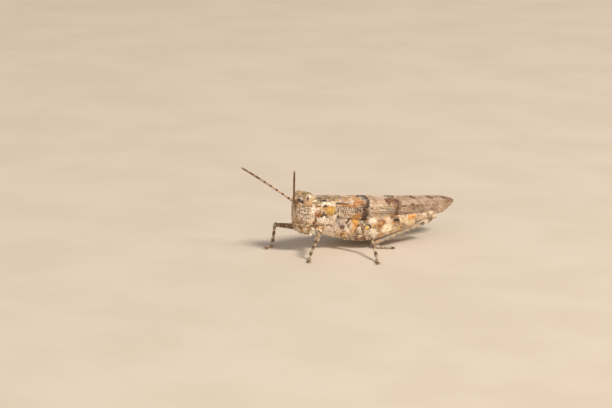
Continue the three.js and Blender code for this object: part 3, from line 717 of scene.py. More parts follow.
def eye(side, name):
    """A compound eye with a painted highlight over its top and darker below, with faint stripes and the dark spot it
    shows from the side.
    """
    centre = EYE * [1, -side, 1]
    grid = ball(centre, EYE_SIZE, 110, 80, EYE_TILT)
    paint = Paint(grid, (210, 172, 126), 0, 0, 0)
    normal = grid_normals(grid)
    up = (grid[..., 2] - centre[2]) / EYE_SIZE[2]
    # A painted highlight over the top of the eye.
    paint.wash((222, 196, 168), 0.8 * smooth(up, 0.1, 0.8))
    paint.wash((186, 146, 104), 0.8 * smooth(-up, 0.2, 0.9))
    stripes = bell(np.sin((grid[..., 0] - centre[0]) * 11 + 0.6 * paint.wobble[..., 0]), 0.35)
    paint.wash((176, 134, 92), 0.28 * stripes)
    towards = np.sum(normal * PUPIL_WAY * [1, -side, 1], -1)
    paint.wash((152, 110, 74), 0.55 * smooth(towards, 0.92, 0.98))
    paint.wash((92, 60, 38), 0.9 * smooth(towards, 0.965, 0.99))
    paint.wash((150, 112, 76), 0.6 * fade(side * normal[..., 1], -0.2, 0.15))
    piece = Shape(grid, paint)
    piece.finish(f"eye_{name}_lens", COMPOUND, "eye", f"eye_{name}")


ANTENNAE = {  # side, where the thread starts, where it points to, and how much it rises in its middle
    "left": (LEFT, (0.02, -0.46, 7.42), (-3.5, -5.14, 5.7), 0.12),
    "right": (RIGHT, (0.26, 0.6, 7.42), (-6.15, 3.48, 4.48), 0.1),
}
ANTENNA_JOINTS, BANDED_JOINTS = 25, 16  # of the thread, and of those the ones in bands of colour


def antenna(name):
    """A thick first joint at the face, a small second one, and a long thread of ringed joints."""
    side, elbow, reach, arch = ANTENNAE[name]
    root, elbow = np.array([0.55, side * 0.58, 7.37]), np.array(elbow)
    piece = Shape()
    t = eased(26)
    path = between(root, elbow, t)
    thick = through((0, 0.2), (0.3, 0.25), (0.75, 0.26), (1, 0.2))(t) * rounded(t, 0.1, 0.2)
    grid = tube(path, thick, sides=26)
    paint = Paint(grid, BROWN * 1.1 if name == "left" else CREAM, 0.2, 0.2, 0.5)
    paint.wash(BROWN, 0.6 * smooth(t, 0.75, 0.95)[:, None])
    piece.painted(grid, paint)
    edges = np.concatenate([[-0.005, 0.03], np.linspace(0.03, 1, ANTENNA_JOINTS)[1:]])
    for k in range(len(edges) - 1):
        u = np.linspace(0, 1, 9)
        t = edges[k] + (edges[k + 1] - edges[k]) * u
        path = elbow + np.array(reach) * t[:, None] + np.array([0, 0, arch]) * np.sin(np.pi * t)[:, None]
        body = through((0, 0.19), (0.04, 0.16), (0.1, 0.135), (0.6, 0.15), (1, 0.115))(edges[k])
        radius = body * (0.9 + 0.1 * np.sin(np.pi * np.clip(u, 0.04, 0.96)) ** 0.6)
        if k == len(edges) - 2:
            radius = radius * np.sqrt(np.clip(1 - u**3, 0.02, 1))
        if name == "left":
            colour = BROWN * (1.5, 1.05, 1.7)[k % 3] if k < BANDED_JOINTS else BROWN * 1.05
        elif k <= BANDED_JOINTS:
            colour = BROWN if k % 3 == 1 else SAND * (1.05 - 0.02 * k)
        else:
            colour = BROWN * 0.85 if k % 3 else TAN * 0.8
        ringed = np.ones((9, 16, 3)) * colour
        ringed *= (1 - 0.3 * bell(u - 1, 0.12))[:, None, None]
        piece.closed(tube(path, radius, sides=16), ringed, (0.1, 0.1, 0.6))
    piece.finish(f"antenna_{name}_thread", FEELER, "antenna", f"antenna_{name}")


def labrum():
    """The upper lip below the face, with the clypeus above it."""
    z = np.linspace(2.7, 4.36, 70)
    turn = turns(90)
    face = through((2.7, 1.2), (3.2, 0.82), (3.8, 0.5), (4.12, 0.38), (4.26, 0.44), (4.36, 0.62))(z)
    wide = through((2.7, 0.2), (2.78, 0.5), (3.2, 0.76), (3.74, 0.78), (3.8, 0.68), (4.1, 0.8), (4.26, 0.76),
                   (4.36, 0.6))(z)
    deep = through((2.7, 0.1), (2.85, 0.2), (3.4, 0.3), (4.36, 0.28))(z)
    x = (face + 0.3)[:, None] + deep[:, None] * signed_power(np.cos(turn), 0.8)
    y = wide[:, None] * signed_power(np.sin(turn), 0.86)
    grid = stacked(x, y, z[:, None])
    level = grid[..., 2]
    height = -0.07 * bell(level - 3.77, 0.045) - 0.05 * bell(y, 0.07) * fade(level, 2.9, 3.3)
    height += 0.02 * rough_noise(grid, 0.35, 41)
    grid = raised(grid, height)
    paint = Paint(grid, SAND, 0.45, 0.5, 0.5)
    paint.wash(CREAM, 0.7 * bell(level - 3.3, 0.3))
    paint.mottle((206, 158, 96), 0.4, 0.45, 42)
    paint.mottle((132, 96, 60), 0.35, 0.38, 43)
    paint.mottle(WHITE, 0.3, 0.36, 44, 0.85)
    paint.wash(BROWN, 0.5 * fade(level, 2.7, 2.95))
    piece = Shape(grid, paint)
    hairs(piece, grid, 60, 0.16, lambda p: (p[:, 2] < 3.6) & (p[:, 0] < 1.3))
    piece.finish("labrum_shell", GLOSSY, "mouth", "labrum")


HAIR = srgb(232, 222, 204)


def hairs(piece, grid, count, length, keep=None, radius=0.011, lie=(0.2, 0, -0.4)):
    """Fine hairs standing on a grid of points, or on those that keep picks, leaning the way of lie."""
    points, normals = grid.reshape(-1, 3), grid_normals(grid).reshape(-1, 3)
    allowed = np.arange(len(points)) if keep is None else np.nonzero(keep(points))[0]
    chosen = random.choice(allowed, count)
    ways = normals[chosen] + np.array(lie) + random.normal(0, 0.18, (count, 3))
    lengths = length * random.uniform(0.6, 1.2, count)
    piece.cones(points[chosen], ways, lengths, radius, HAIR, bend=np.array(lie) * 0.35, sides=3)


def mouthparts(side, name):
    """One side's jaw, with its dark biting edge, and its two palps."""
    jaw = ball((1.95, side * 0.74, 3.35), (0.66, 0.46, 0.72), 60, 44, -0.3)
    paint = Paint(jaw, CREAM * 0.9, 0.4, 0.5, 0.5)
    paint.mottle(OCHRE, 0.4, 0.6, 51)
    paint.mottle(BROWN, 0.35, 0.45, 52)
    paint.wash(DARK, 0.8 * fade(jaw[..., 2], 2.75, 2.95))
    piece = Shape(raised(jaw, 0.03 * rough_noise(jaw, 0.3, 53)), paint)
    piece.finish(f"mandible_{name}_jaw", GLOSSY, "mouth", f"mandible_{name}")
    long_palp = [(2.75, 1.1, 3.6), (2.75, 1.32, 3.1), (2.6, 1.38, 2.68), (2.18, 1.38, 2.56)]
    short_palp = [(2.7, 0.5, 2.78), (2.4, 0.58, 2.48), (1.98, 0.62, 2.43)]
    palp(side, long_palp, f"maxillary_palp_{name}", 0.17)
    palp(side, short_palp, f"labial_palp_{name}", 0.14)


def palp(side, knots, node, radius):
    """A chain of club-shaped joints."""
    piece = Shape()
    knots = np.array(knots) * [1, side, 1]
    for k, (start, end) in enumerate(zip(knots[:-1], knots[1:])):
        t = eased(22)
        path = between(start, end, t * 1.12 - 0.06)
        thick = radius * through((0, 0.7), (0.7, 1.12), (1, 0.95))(t) * rounded(t, 0.16, 0.2)
        grid = tube(path, thick, sides=20, up=(0, 1, 0))
        paint = Paint(grid, WHITE if k == len(knots) - 2 else CREAM, 0.05, 0.1, 0.4)
        paint.wash(TAN, 0.7 * bell(t - 0.1, 0.14)[:, None])
        piece.painted(grid, paint)
        hairs(piece, grid, 14, 0.1)
    piece.finish(node + "_chain", GLOSSY, "mouth", node)


def labium():
    """The lower lip, parted along its middle."""
    grid = ball((2.75, 0, 3.25), (0.42, 0.78, 0.64), 60, 40, 0.2)
    height = -0.06 * bell(grid[..., 1], 0.05) + 0.02 * rough_noise(grid, 0.3, 61)
    grid = raised(grid, height)
    paint = Paint(grid, SAND, 0.2, 0.3, 0.5)
    piece = Shape(grid, paint)
    piece.finish("labium_lobes", GLOSSY, "mouth", "labium")


# ---------------------------------------------------------------- pronotum
LOBE_LOW = through((3.2, 4.5), (4.2, 4.1), (5.6, 3.85), (6.55, 4.2))
COLLAR = through((3.05, 1.5), (3.3, 1.68), (3.8, 1.86), (4.6, 1.92), (6.0, 2.15), (8.1, 2.3))
WAIST, ARCH_SHARE = 5.5, 0.6
PRONOTUM_REAR = through((0, 7.9), (0.3, 7.1), (0.6, 6.35), (0.8, 6.1), (1, 5.6))
PRONOTUM_FRONT = through((0, 3.15), (0.6, 3.1), (0.85, 3.2), (1, 3.4))


def pronotum():
    """The saddle behind the head: keeled along its middle, cut by three grooves, with a lobe down each side."""
    across = np.linspace(-1, 1, 281)
    far, hand = np.abs(across), np.sign(across)
    x = PRONOTUM_FRONT(far) + (PRONOTUM_REAR(far) - PRONOTUM_FRONT(far)) * np.linspace(0, 1, 150)[:, None]
    turn = np.clip(far / ARCH_SHARE, 0, 1) * np.pi / 2
    down = np.clip((far - ARCH_SHARE) / (1 - ARCH_SHARE), 0, 1)
    y = hand * (COLLAR(x) * np.sin(turn) ** 0.8 - 0.22 * down**2)
    arch = WAIST + (BACK(x) - WAIST) * np.cos(turn) ** 0.8
    z = np.where(far <= ARCH_SHARE, arch, WAIST + (LOBE_LOW(x) - WAIST) * down)
    grid = stacked(x, y, z)
    rear = smooth(x, 5.4, 5.8)
    # The keel, raised along the back and cut by three grooves that bow forwards down the sides.
    keel = bell(y, 0.07) * (0.045 + 0.05 * rear)
    grooves = 0
    for place, bow, depth in ((4.15, 0.25, 0.6), (4.7, 0.35, 0.8), (5.45, 0.3, 1.0)):
        line = place - bow * smooth(far, 0.45, 0.95)
        grooves = grooves + depth * bell(x - line, 0.055) * (1 - 0.5 * smooth(far, 0.8, 1.0))
    height = keel * (1 - 0.9 * np.clip(grooves, 0, 1)) - 0.075 * grooves
    # The ridges beside the keel, the rolled margins and the nodules.
    height += 0.05 * rear * bell(far - 0.4, 0.03) + 0.03 * (1 - rear) * bell(far - 0.42, 0.05)
    height += 0.05 * bell(x - PRONOTUM_FRONT(far), 0.1) + 0.03 * bell(x - PRONOTUM_REAR(far), 0.08)
    height += 0.05 * bell((x - 4.4) / 2, 0.25) * bell(far - 0.72, 0.1)
    nodules, number = scattered(grid, 0.2, 71)
    height += (0.5 + 0.5 * rear) * 0.03 * fade(nodules, 0.1, 0.5) * (number > 0.3)
    height += 0.025 * rough_noise(grid, 0.6, 72)
    grid = raised(grid, height, wrap=False) if grid_normals(grid, False)[0, 140, 2] > 0 else \
        raised(grid, -height, wrap=False)

    paint = Paint(grid, SAND, dots=0.4, flecks=0.35, grain=1.0)
    # The ground: dull above, pale on the lobes.
    upper = smooth(z, 6.9, 7.2)
    flank = fade(z, 6.2, 6.6)
    paint.mark(DOTS, 0.6, upper)
    paint.mark(DOTS, 0.16, smooth(far, 0.7, 0.85))
    lobe = fade(z, 4.9, 5.5)
    paint.wash((172, 148, 118), 0.8 * upper)
    paint.wash((246, 230, 208), 0.85 * lobe)
    paint.mottle(WHITE, 0.5, 0.42, 73, 0.85, 1 - 0.45 * upper)
    paint.mottle((176, 128, 76), 0.6, 0.4, 76, 0.75, 1 - 0.6 * upper - 0.7 * lobe)
    paint.mottle((134, 110, 84), 0.5, 0.46, 77, 0.75, upper)
    paint.mottle(BROWN, 0.36, 0.3, 74, 0.8, 1 - 0.5 * lobe)
    # The mustard patch and the pale lobe below it.
    paint.blob(CREAM, (5.8, -2.0, 4.6), (0.7, 0.6, 0.6), 0.8, 0.35)
    paint.blob(MUSTARD, (5.15, -1.95, 5.95), (0.74, 0.6, 0.68), 0.85, 0.35, 0.3)
    paint.blob((226, 178, 76), (5.38, -2.0, 5.84), (0.3, 0.6, 0.42), 0.9, 0.4, 0.2)
    paint.mottle((120, 80, 34), 0.4, 0.3, 78, 0.8, bell((x - 5.1) / 1.2, 0.7) * flank * smooth(z, 5.2, 5.5))
    paint.blob((250, 238, 220), (4.25, -1.9, 4.8), (0.32, 0.6, 0.52), 0.95, 0.3, 0.1)
    paint.blob((248, 234, 216), (3.75, -1.9, 4.5), (0.5, 0.6, 0.5), 0.95, 0.3, 0.12)
    paint.blob((180, 124, 58), (4.75, -1.95, 5.35), (0.3, 0.6, 0.2), 0.75, 0.4, 0.14)
    # The pale stripe along the shoulder, and the marks at the front edge.
    paint.stroke(WHITE, 0.17, ((4.3, -1.4, 7.06), (5.1, -1.7, 6.83), (6.0, -1.9, 6.5)), 0.95, 0.25, 0.08)
    paint.stroke(OCHRE, 0.15, ((3.9, -1.85, 6.35), (4.6, -1.9, 6.42), (5.3, -1.95, 6.36)), 0.75, 0.4, 0.12)
    paint.stroke((200, 136, 62), 0.16, ((6.1, -2.0, 6.42), (6.9, -2.1, 6.4)), 0.8, 0.4, 0.1)
    paint.blob(WHITE, (3.26, -1.7, 6.3), (0.3, 0.4, 0.16), 0.9, 0.35, 0.08)
    paint.blob(RUST, (3.36, -1.75, 6.66), (0.28, 0.4, 0.14), 0.9, 0.35, 0.06)
    paint.blob((156, 90, 40), (3.5, -1.75, 5.35), (0.42, 0.6, 0.42), 0.92, 0.35, 0.2)
    paint.blob(OLIVE, (3.4, -1.3, 7.3), (0.4, 0.6, 0.42), 0.8, 0.35, 0.1)
    paint.stroke((84, 66, 36), 0.09, ((3.25, -1.4, 7.15), (3.75, -1.6, 7.0)), 0.9, 0.35, 0.06)
    paint.blob(WHITE, (3.25, -1.07, 7.33), (0.16, 0.2, 0.14), 0.95, 0.3, 0.03)
    # The dark marks over the shoulder and on the flank.
    paint.blob((70, 60, 54), (4.15, -0.86, 7.56), (0.3, 0.3, 0.2), 0.85, 0.35, 0.1)
    paint.blob(BLACK, (4.54, -1.34, 7.25), (0.42, 0.3, 0.16), 0.98, 0.25, 0.05)
    paint.blob(DARK, (4.42, -1.75, 6.6), (0.32, 0.4, 0.17), 0.97, 0.3, 0.08)
    paint.stroke((52, 34, 22), 0.15, ((3.8, -1.9, 5.1), (4.16, -1.92, 5.5), (4.6, -1.95, 5.16)), 0.97, 0.25, 0.08)
    paint.blob(BLACK, (4.18, -1.92, 5.44), (0.25, 0.4, 0.17), 0.97, 0.3, 0.05)
    paint.stroke(BLACK, 0.1, ((6.25, -1.85, 6.58), (6.7, -1.95, 6.68), (7.2, -1.95, 6.74)), 0.95, 0.25, 0.05)
    paint.blob((226, 190, 84), (6.55, -1.4, 7.15), (0.26, 0.34, 0.14), 0.85, 0.35, 0.08)
    paint.blob((112, 100, 86), (7.3, -1.0, 7.2), (0.5, 0.5, 0.3), 0.7, 0.4, 0.15)
    paint.wash(BROWN, 0.45 * np.clip(grooves, 0, 1))
    paint.wash(CREAM, 0.5 * bell(y, 0.06) * smooth(noise(grid, 0.4, 75), -0.2, 0.2))
    piece = Shape()
    piece.plate(grid, 0.2, paint)
    piece.finish("pronotum_shield", SHELL, "cuticle", "pronotum")


# ---------------------------------------------------------------- thorax and abdomen
SUTURES = (4.9, 6.15, 7.3, 8.5, 9.6)
SUTURE_LEAN = 0.72


def thorax():
    """The body between the legs, its flanks cut into leaning plates and its underside into shields."""
    x = np.linspace(3.3, 11.95, 220)
    grid = barrel(x, CORE_TOP, CORE_BOTTOM, CORE_WIDTH, 240, 2.7)
    z = grid[..., 2]
    lean = grid[..., 0] - SUTURE_LEAN * (4.6 - z)
    flank = smooth(z, 1.5, 2.0) * fade(z, 5.0, 5.4)
    belly = fade(z, 1.4, 2.3)
    height = 0.025 * rough_noise(grid, 0.5, 81)
    # Seams between the plates, which swell behind them, and the shields below.
    seams = 0
    for seam in SUTURES:
        seams = seams + bell(lean - seam, 0.05)
        height = height + flank * 0.05 * bell(lean - seam - 0.35, 0.3)
    height -= flank * 0.09 * seams
    for place in (5.6, 7.1, 8.9, 10.6):
        height -= belly * 0.06 * bell(grid[..., 0] - place - 0.25 * np.cos(grid[..., 1] * 1.6), 0.06)
    height -= belly * 0.03 * bell(grid[..., 1], 0.06)
    height += 0.018 * grains(grid, 0.16, 82)
    grid = raised(grid, height)
    paint = Paint(grid, SAND, dots=0.3, flecks=0.3, grain=0.8)
    paint.wash(LILAC, 0.5 * flank)
    paint.wash((252, 236, 212), 0.85 * fade(z, 2.8, 3.8))
    paint.mottle(WHITE, 0.6, 0.46, 83, 0.9)
    paint.mottle((208, 162, 104), 0.6, 0.34, 84, 0.7)
    paint.mottle(BROWN, 0.4, 0.22, 85, 0.65, flank * smooth(z, 2.2, 3.0))
    # The grey plate with dark lines, above the middle leg.
    patch = bell(lean - 6.35, 0.95) * smooth(z, 3.0, 3.3) * fade(z, 5.2, 5.5)
    paint.wash((196, 172, 158), 0.75 * patch)
    lines = smooth(np.sin(lean * 2 * np.pi / 0.34 + 1.1 * paint.wobble[..., 0]), 0.35, 0.85)
    paint.wash((78, 58, 44), 0.8 * lines * patch)
    # The pale stripe behind the collar, and the mottled front.
    paint.stroke(WHITE, 0.18, ((4.3, -1.5, 4.4), (4.75, -1.5, 3.5), (5.1, -1.5, 2.8)), 0.9, 0.3)
    front = fade(x, 4.3, 4.9)[:, None]
    paint.mottle((156, 112, 66), 0.4, 0.45, 86, 0.85, front)
    paint.mottle((206, 152, 82), 0.4, 0.36, 87, 0.85, front)
    paint.mark(DOTS, 0.5, front)
    # Marks along the flank and low down, from front to rear.
    paint.blob(WHITE, (3.8, -1.5, 4.1), (0.5, 0.8, 0.4), 0.9, 0.3)
    paint.blob((216, 190, 172), (5.5, -1.3, 2.5), (0.6, 0.8, 0.5), 0.8, 0.35)
    paint.blob((222, 156, 60), (6.6, -1.5, 2.2), (0.7, 0.7, 0.36), 0.75, 0.35, 0.25)
    paint.blob((206, 138, 62), (7.3, -1.8, 2.5), (0.6, 0.8, 0.3), 0.85, 0.35, 0.2)
    paint.blob(WHITE, (8.4, -1.9, 2.5), (0.45, 0.8, 0.6), 0.8, 0.35, 0.2)
    paint.blob(WHITE, (7.6, -1.95, 4.5), (0.42, 0.6, 0.42), 0.85, 0.35, 0.15)
    paint.blob((88, 50, 30), (7.3, -1.92, 3.36), (0.42, 0.6, 0.3), 0.9, 0.35, 0.2)
    paint.stroke(BLACK, 0.18, ((7.95, -2.05, 3.85), (8.25, -2.05, 4.3)), 0.95, 0.3, 0.08)
    paint.stroke((240, 178, 92), 0.5, ((9.3, -2.2, 4.9), (9.45, -2.1, 3.4), (9.0, -1.9, 2.3)), 0.95, 0.35, 0.3)
    paint.mottle((140, 92, 44), 0.45, 0.22, 88, 0.8, bell(grid[..., 0] - 9.4, 0.7) * flank)
    paint.blob(DARK, (10.0, -2.0, 3.1), (0.36, 0.6, 0.5), 0.85, 0.4)
    # Painted light: the underside is brightened, standing in for light thrown up from the floor.
    paint.wash((255, 240, 214), 0.5 * fade(z, 2.2, 3.4))
    paint.wash(BROWN, 0.6 * flank * np.clip(seams, 0, 1))
    piece = Shape(grid, paint)
    hairs(piece, grid, 500, 0.22, lambda p: (p[:, 2] < 2.6) & (p[:, 0] < 11), lie=(0.3, 0, -0.5))
    piece.finish("thorax_plates", SHELL, "cuticle", "thorax")


SEGMENTS = 9
ABDOMEN_START, ABDOMEN_END = 11.6, 21.6


def abdomen():
    """Nine overlapping rings, each with a breathing hole above the fold along its side."""
    long = (ABDOMEN_END - ABDOMEN_START) / SEGMENTS
    t = np.linspace(0, 1, 24)
    x = np.concatenate([ABDOMEN_START + long * (k + 0.985 * t) for k in range(SEGMENTS)])
    saw = np.tile(0.955 + 0.07 * smooth(t, -0.1, 0.75) - 0.02 * smooth(t, 0.93, 1), SEGMENTS)
    grid = barrel(x, ABDOMEN_TOP, ABDOMEN_BOTTOM, ABDOMEN_WIDTH, 150, 2.15, swell=saw)
    z = grid[..., 2]
    middle = ((ABDOMEN_TOP(x) + ABDOMEN_BOTTOM(x)) / 2)[:, None]
    tall = ((ABDOMEN_TOP(x) - ABDOMEN_BOTTOM(x)) / 2)[:, None]
    fold = (z - middle) / tall + 0.42
    height = -0.09 * bell(fold, 0.1) + 0.015 * rough_noise(grid, 0.4, 91)
    within = (grid[..., 0] - ABDOMEN_START) / long % 1
    hole = np.hypot((within - 0.3) * long, (fold - 0.22) * tall)
    height -= 0.05 * fade(hole, 0.05, 0.13)
    grid = raised(grid, height)
    paint = Paint(grid, SAND, dots=0.25, flecks=0.25, grain=0.4)
    paint.mottle(CREAM, 0.8, 0.6, 92)
    paint.wash(OCHRE, 0.35 * bell(fold - 0.5, 0.4))
    paint.wash(BROWN, 0.7 * smooth(within, 0.7, 0.95) * smooth(fold, 0.15, 0.5))
    paint.mottle(DARK, 0.45, 0.34, 93)
    paint.wash(CREAM, 0.5 * fade(fold, -0.5, -0.1))
    paint.wash(DARK, 0.8 * fade(hole, 0.06, 0.1))
    piece = Shape(grid, paint)
    hairs(piece, grid, 260, 0.16, lambda p: p[:, 2] < 2.4, lie=(0.6, 0, -0.3))
    piece.finish("abdomen_rings", SHELL, "cuticle", "abdomen")


def tail():
    """The egg-laying valves, an upper and a lower pair with hooked dark tips, and the two cerci beside them."""
    piece = Shape()
    for side in (LEFT, RIGHT):
        for start, end, hook in (((21.4, side * 0.2, 3.28), (23.15, side * 0.17, 3.3), 0.16),
                                 ((21.4, side * 0.2, 2.82), (23.0, side * 0.16, 2.9), -0.14)):
            t = eased(30)
            path = between(start, end, t)
            path[:, 2] += hook * smooth(t, 0.6, 1.0)
            thick = through((0, 0.24), (0.5, 0.19), (0.85, 0.12), (1, 0.05))(t) * rounded(t, 0.05, 0.06)
            grid = tube(path, thick * 0.9, thick, sides=24)
            paint = Paint(grid, TAN, 0.1, 0.1, 0.3)
            paint.wash(DARK, 0.9 * smooth(t, 0.66, 0.9)[:, None])
            piece.painted(grid, paint)
    plate = barrel(np.linspace(21.3, 22.1, 24), through((21.3, 3.7), (22.1, 3.5)), through((21.3, 2.5), (22.1, 2.9)),
                   through((21.3, 0.56), (22.1, 0.3)), 48)
    piece.painted(plate, Paint(plate, SAND, 0.3, 0.2, 0.4))
    piece.finish("ovipositor_valves", GLOSSY, "mouth", "ovipositor")
    for side, name in SIDES:
        t = eased(24)
        path = between((21.3, side * 0.62, 3.55), (22.3, side * 0.95, 3.72), t)
        grid = tube(path, through((0, 0.2), (0.4, 0.16), (1, 0.06))(t) * rounded(t, 0.1, 0.06), sides=20)
        cercus = Shape(grid, Paint(grid, TAN, 0.1, 0.1, 0.4))
        hairs(cercus, grid, 30, 0.14, lie=(0.4, 0, 0))
        cercus.finish(f"cercus_{name}_cone", GLOSSY, "mouth", f"cercus_{name}")


# ---------------------------------------------------------------- wings
WING_ROOT, WING_BASE, WING_TIP, WING_ROUND, WING_TIP_HEIGHT = 5.75, 6.7, 27.6, 24.3, 4.85
SHOULDER = 0.45  # how far across the crease along the shoulder lies
WING_DEPTH = 4.7  # the wing's breadth round its crease
WING_FOLD = through((0, 0), (SHOULDER, 1), (1, 1.05))
# Main veins: how far across they lie at the base, in the middle and towards the tip, and their heights.
VEINS = ((0.93, 0.95, 0.97, 0.03), (0.82, 0.86, 0.9, 0.035), (0.72, 0.74, 0.78, 0.06), (0.66, 0.66, 0.66, 0.045),
         (0.58, 0.56, 0.56, 0.03), (0.5, 0.47, 0.48, 0.05), (0.4, 0.36, 0.38, 0.035), (0.3, 0.24, 0.26, 0.035),
         (0.2, 0.14, 0.14, 0.03), (0.1, 0.06, 0.05, 0.03))


def wing_grid(side, rows=530, columns=160):
    """The folded forewing's outer face, from its root to its tip and from the ridge of the back to its lower edge.

    Also gives how far across each point lies: 0 on the back, SHOULDER at the crease and 1 at the lower edge.
    """
    t = np.linspace(0, 1, rows)
    x = WING_ROOT + (WING_TIP - WING_ROOT) * (1 - (1 - t) ** 1.3)
    past = np.clip((x - WING_ROUND) / (WING_TIP - WING_ROUND), 0, 1)
    open_share = np.sqrt(np.clip(1 - past**2.6, 0.002, 1))[:, None]
    across = 0.45 + (np.linspace(0, 1, columns) - 0.45) * open_share
    x = x[:, None] * np.ones_like(across)
    tucked = fade(x, WING_ROOT, WING_BASE + 0.1)
    y = side * (0.03 + (SHOULDER_WIDTH(x) - 0.03 - 0.24 * tucked) * WING_FOLD(across))
    knots = [0, SHOULDER * 0.55, SHOULDER, 1]
    levels = [BACK(x), BACK(x) * 0.7 + SHOULDER_LINE(x) * 0.3, SHOULDER_LINE(x), WING_LOW(x)]
    z = np.empty_like(across)
    for k in range(3):
        inside = (across >= knots[k]) & (across <= knots[k + 1] + 1e-9)
        share = (across - knots[k]) / (knots[k + 1] - knots[k])
        z = np.where(inside, levels[k] + (levels[k + 1] - levels[k]) * share, z)
    z = soften(z, 8) - 0.22 * tucked * fade(across, 0.3, 0.6)
    z = WING_TIP_HEIGHT + (z - WING_TIP_HEIGHT) * (0.3 + 0.7 * open_share)
    return stacked(x, y, z), across


def soften(values, reach):
    """Averages each row over its neighbours across, which rounds a crease."""
    padded = np.pad(values, ((0, 0), (reach, reach)), mode="reflect", reflect_type="odd")
    return sum(padded[:, k:k + values.shape[1]] for k in range(2 * reach + 1)) / (2 * reach + 1)


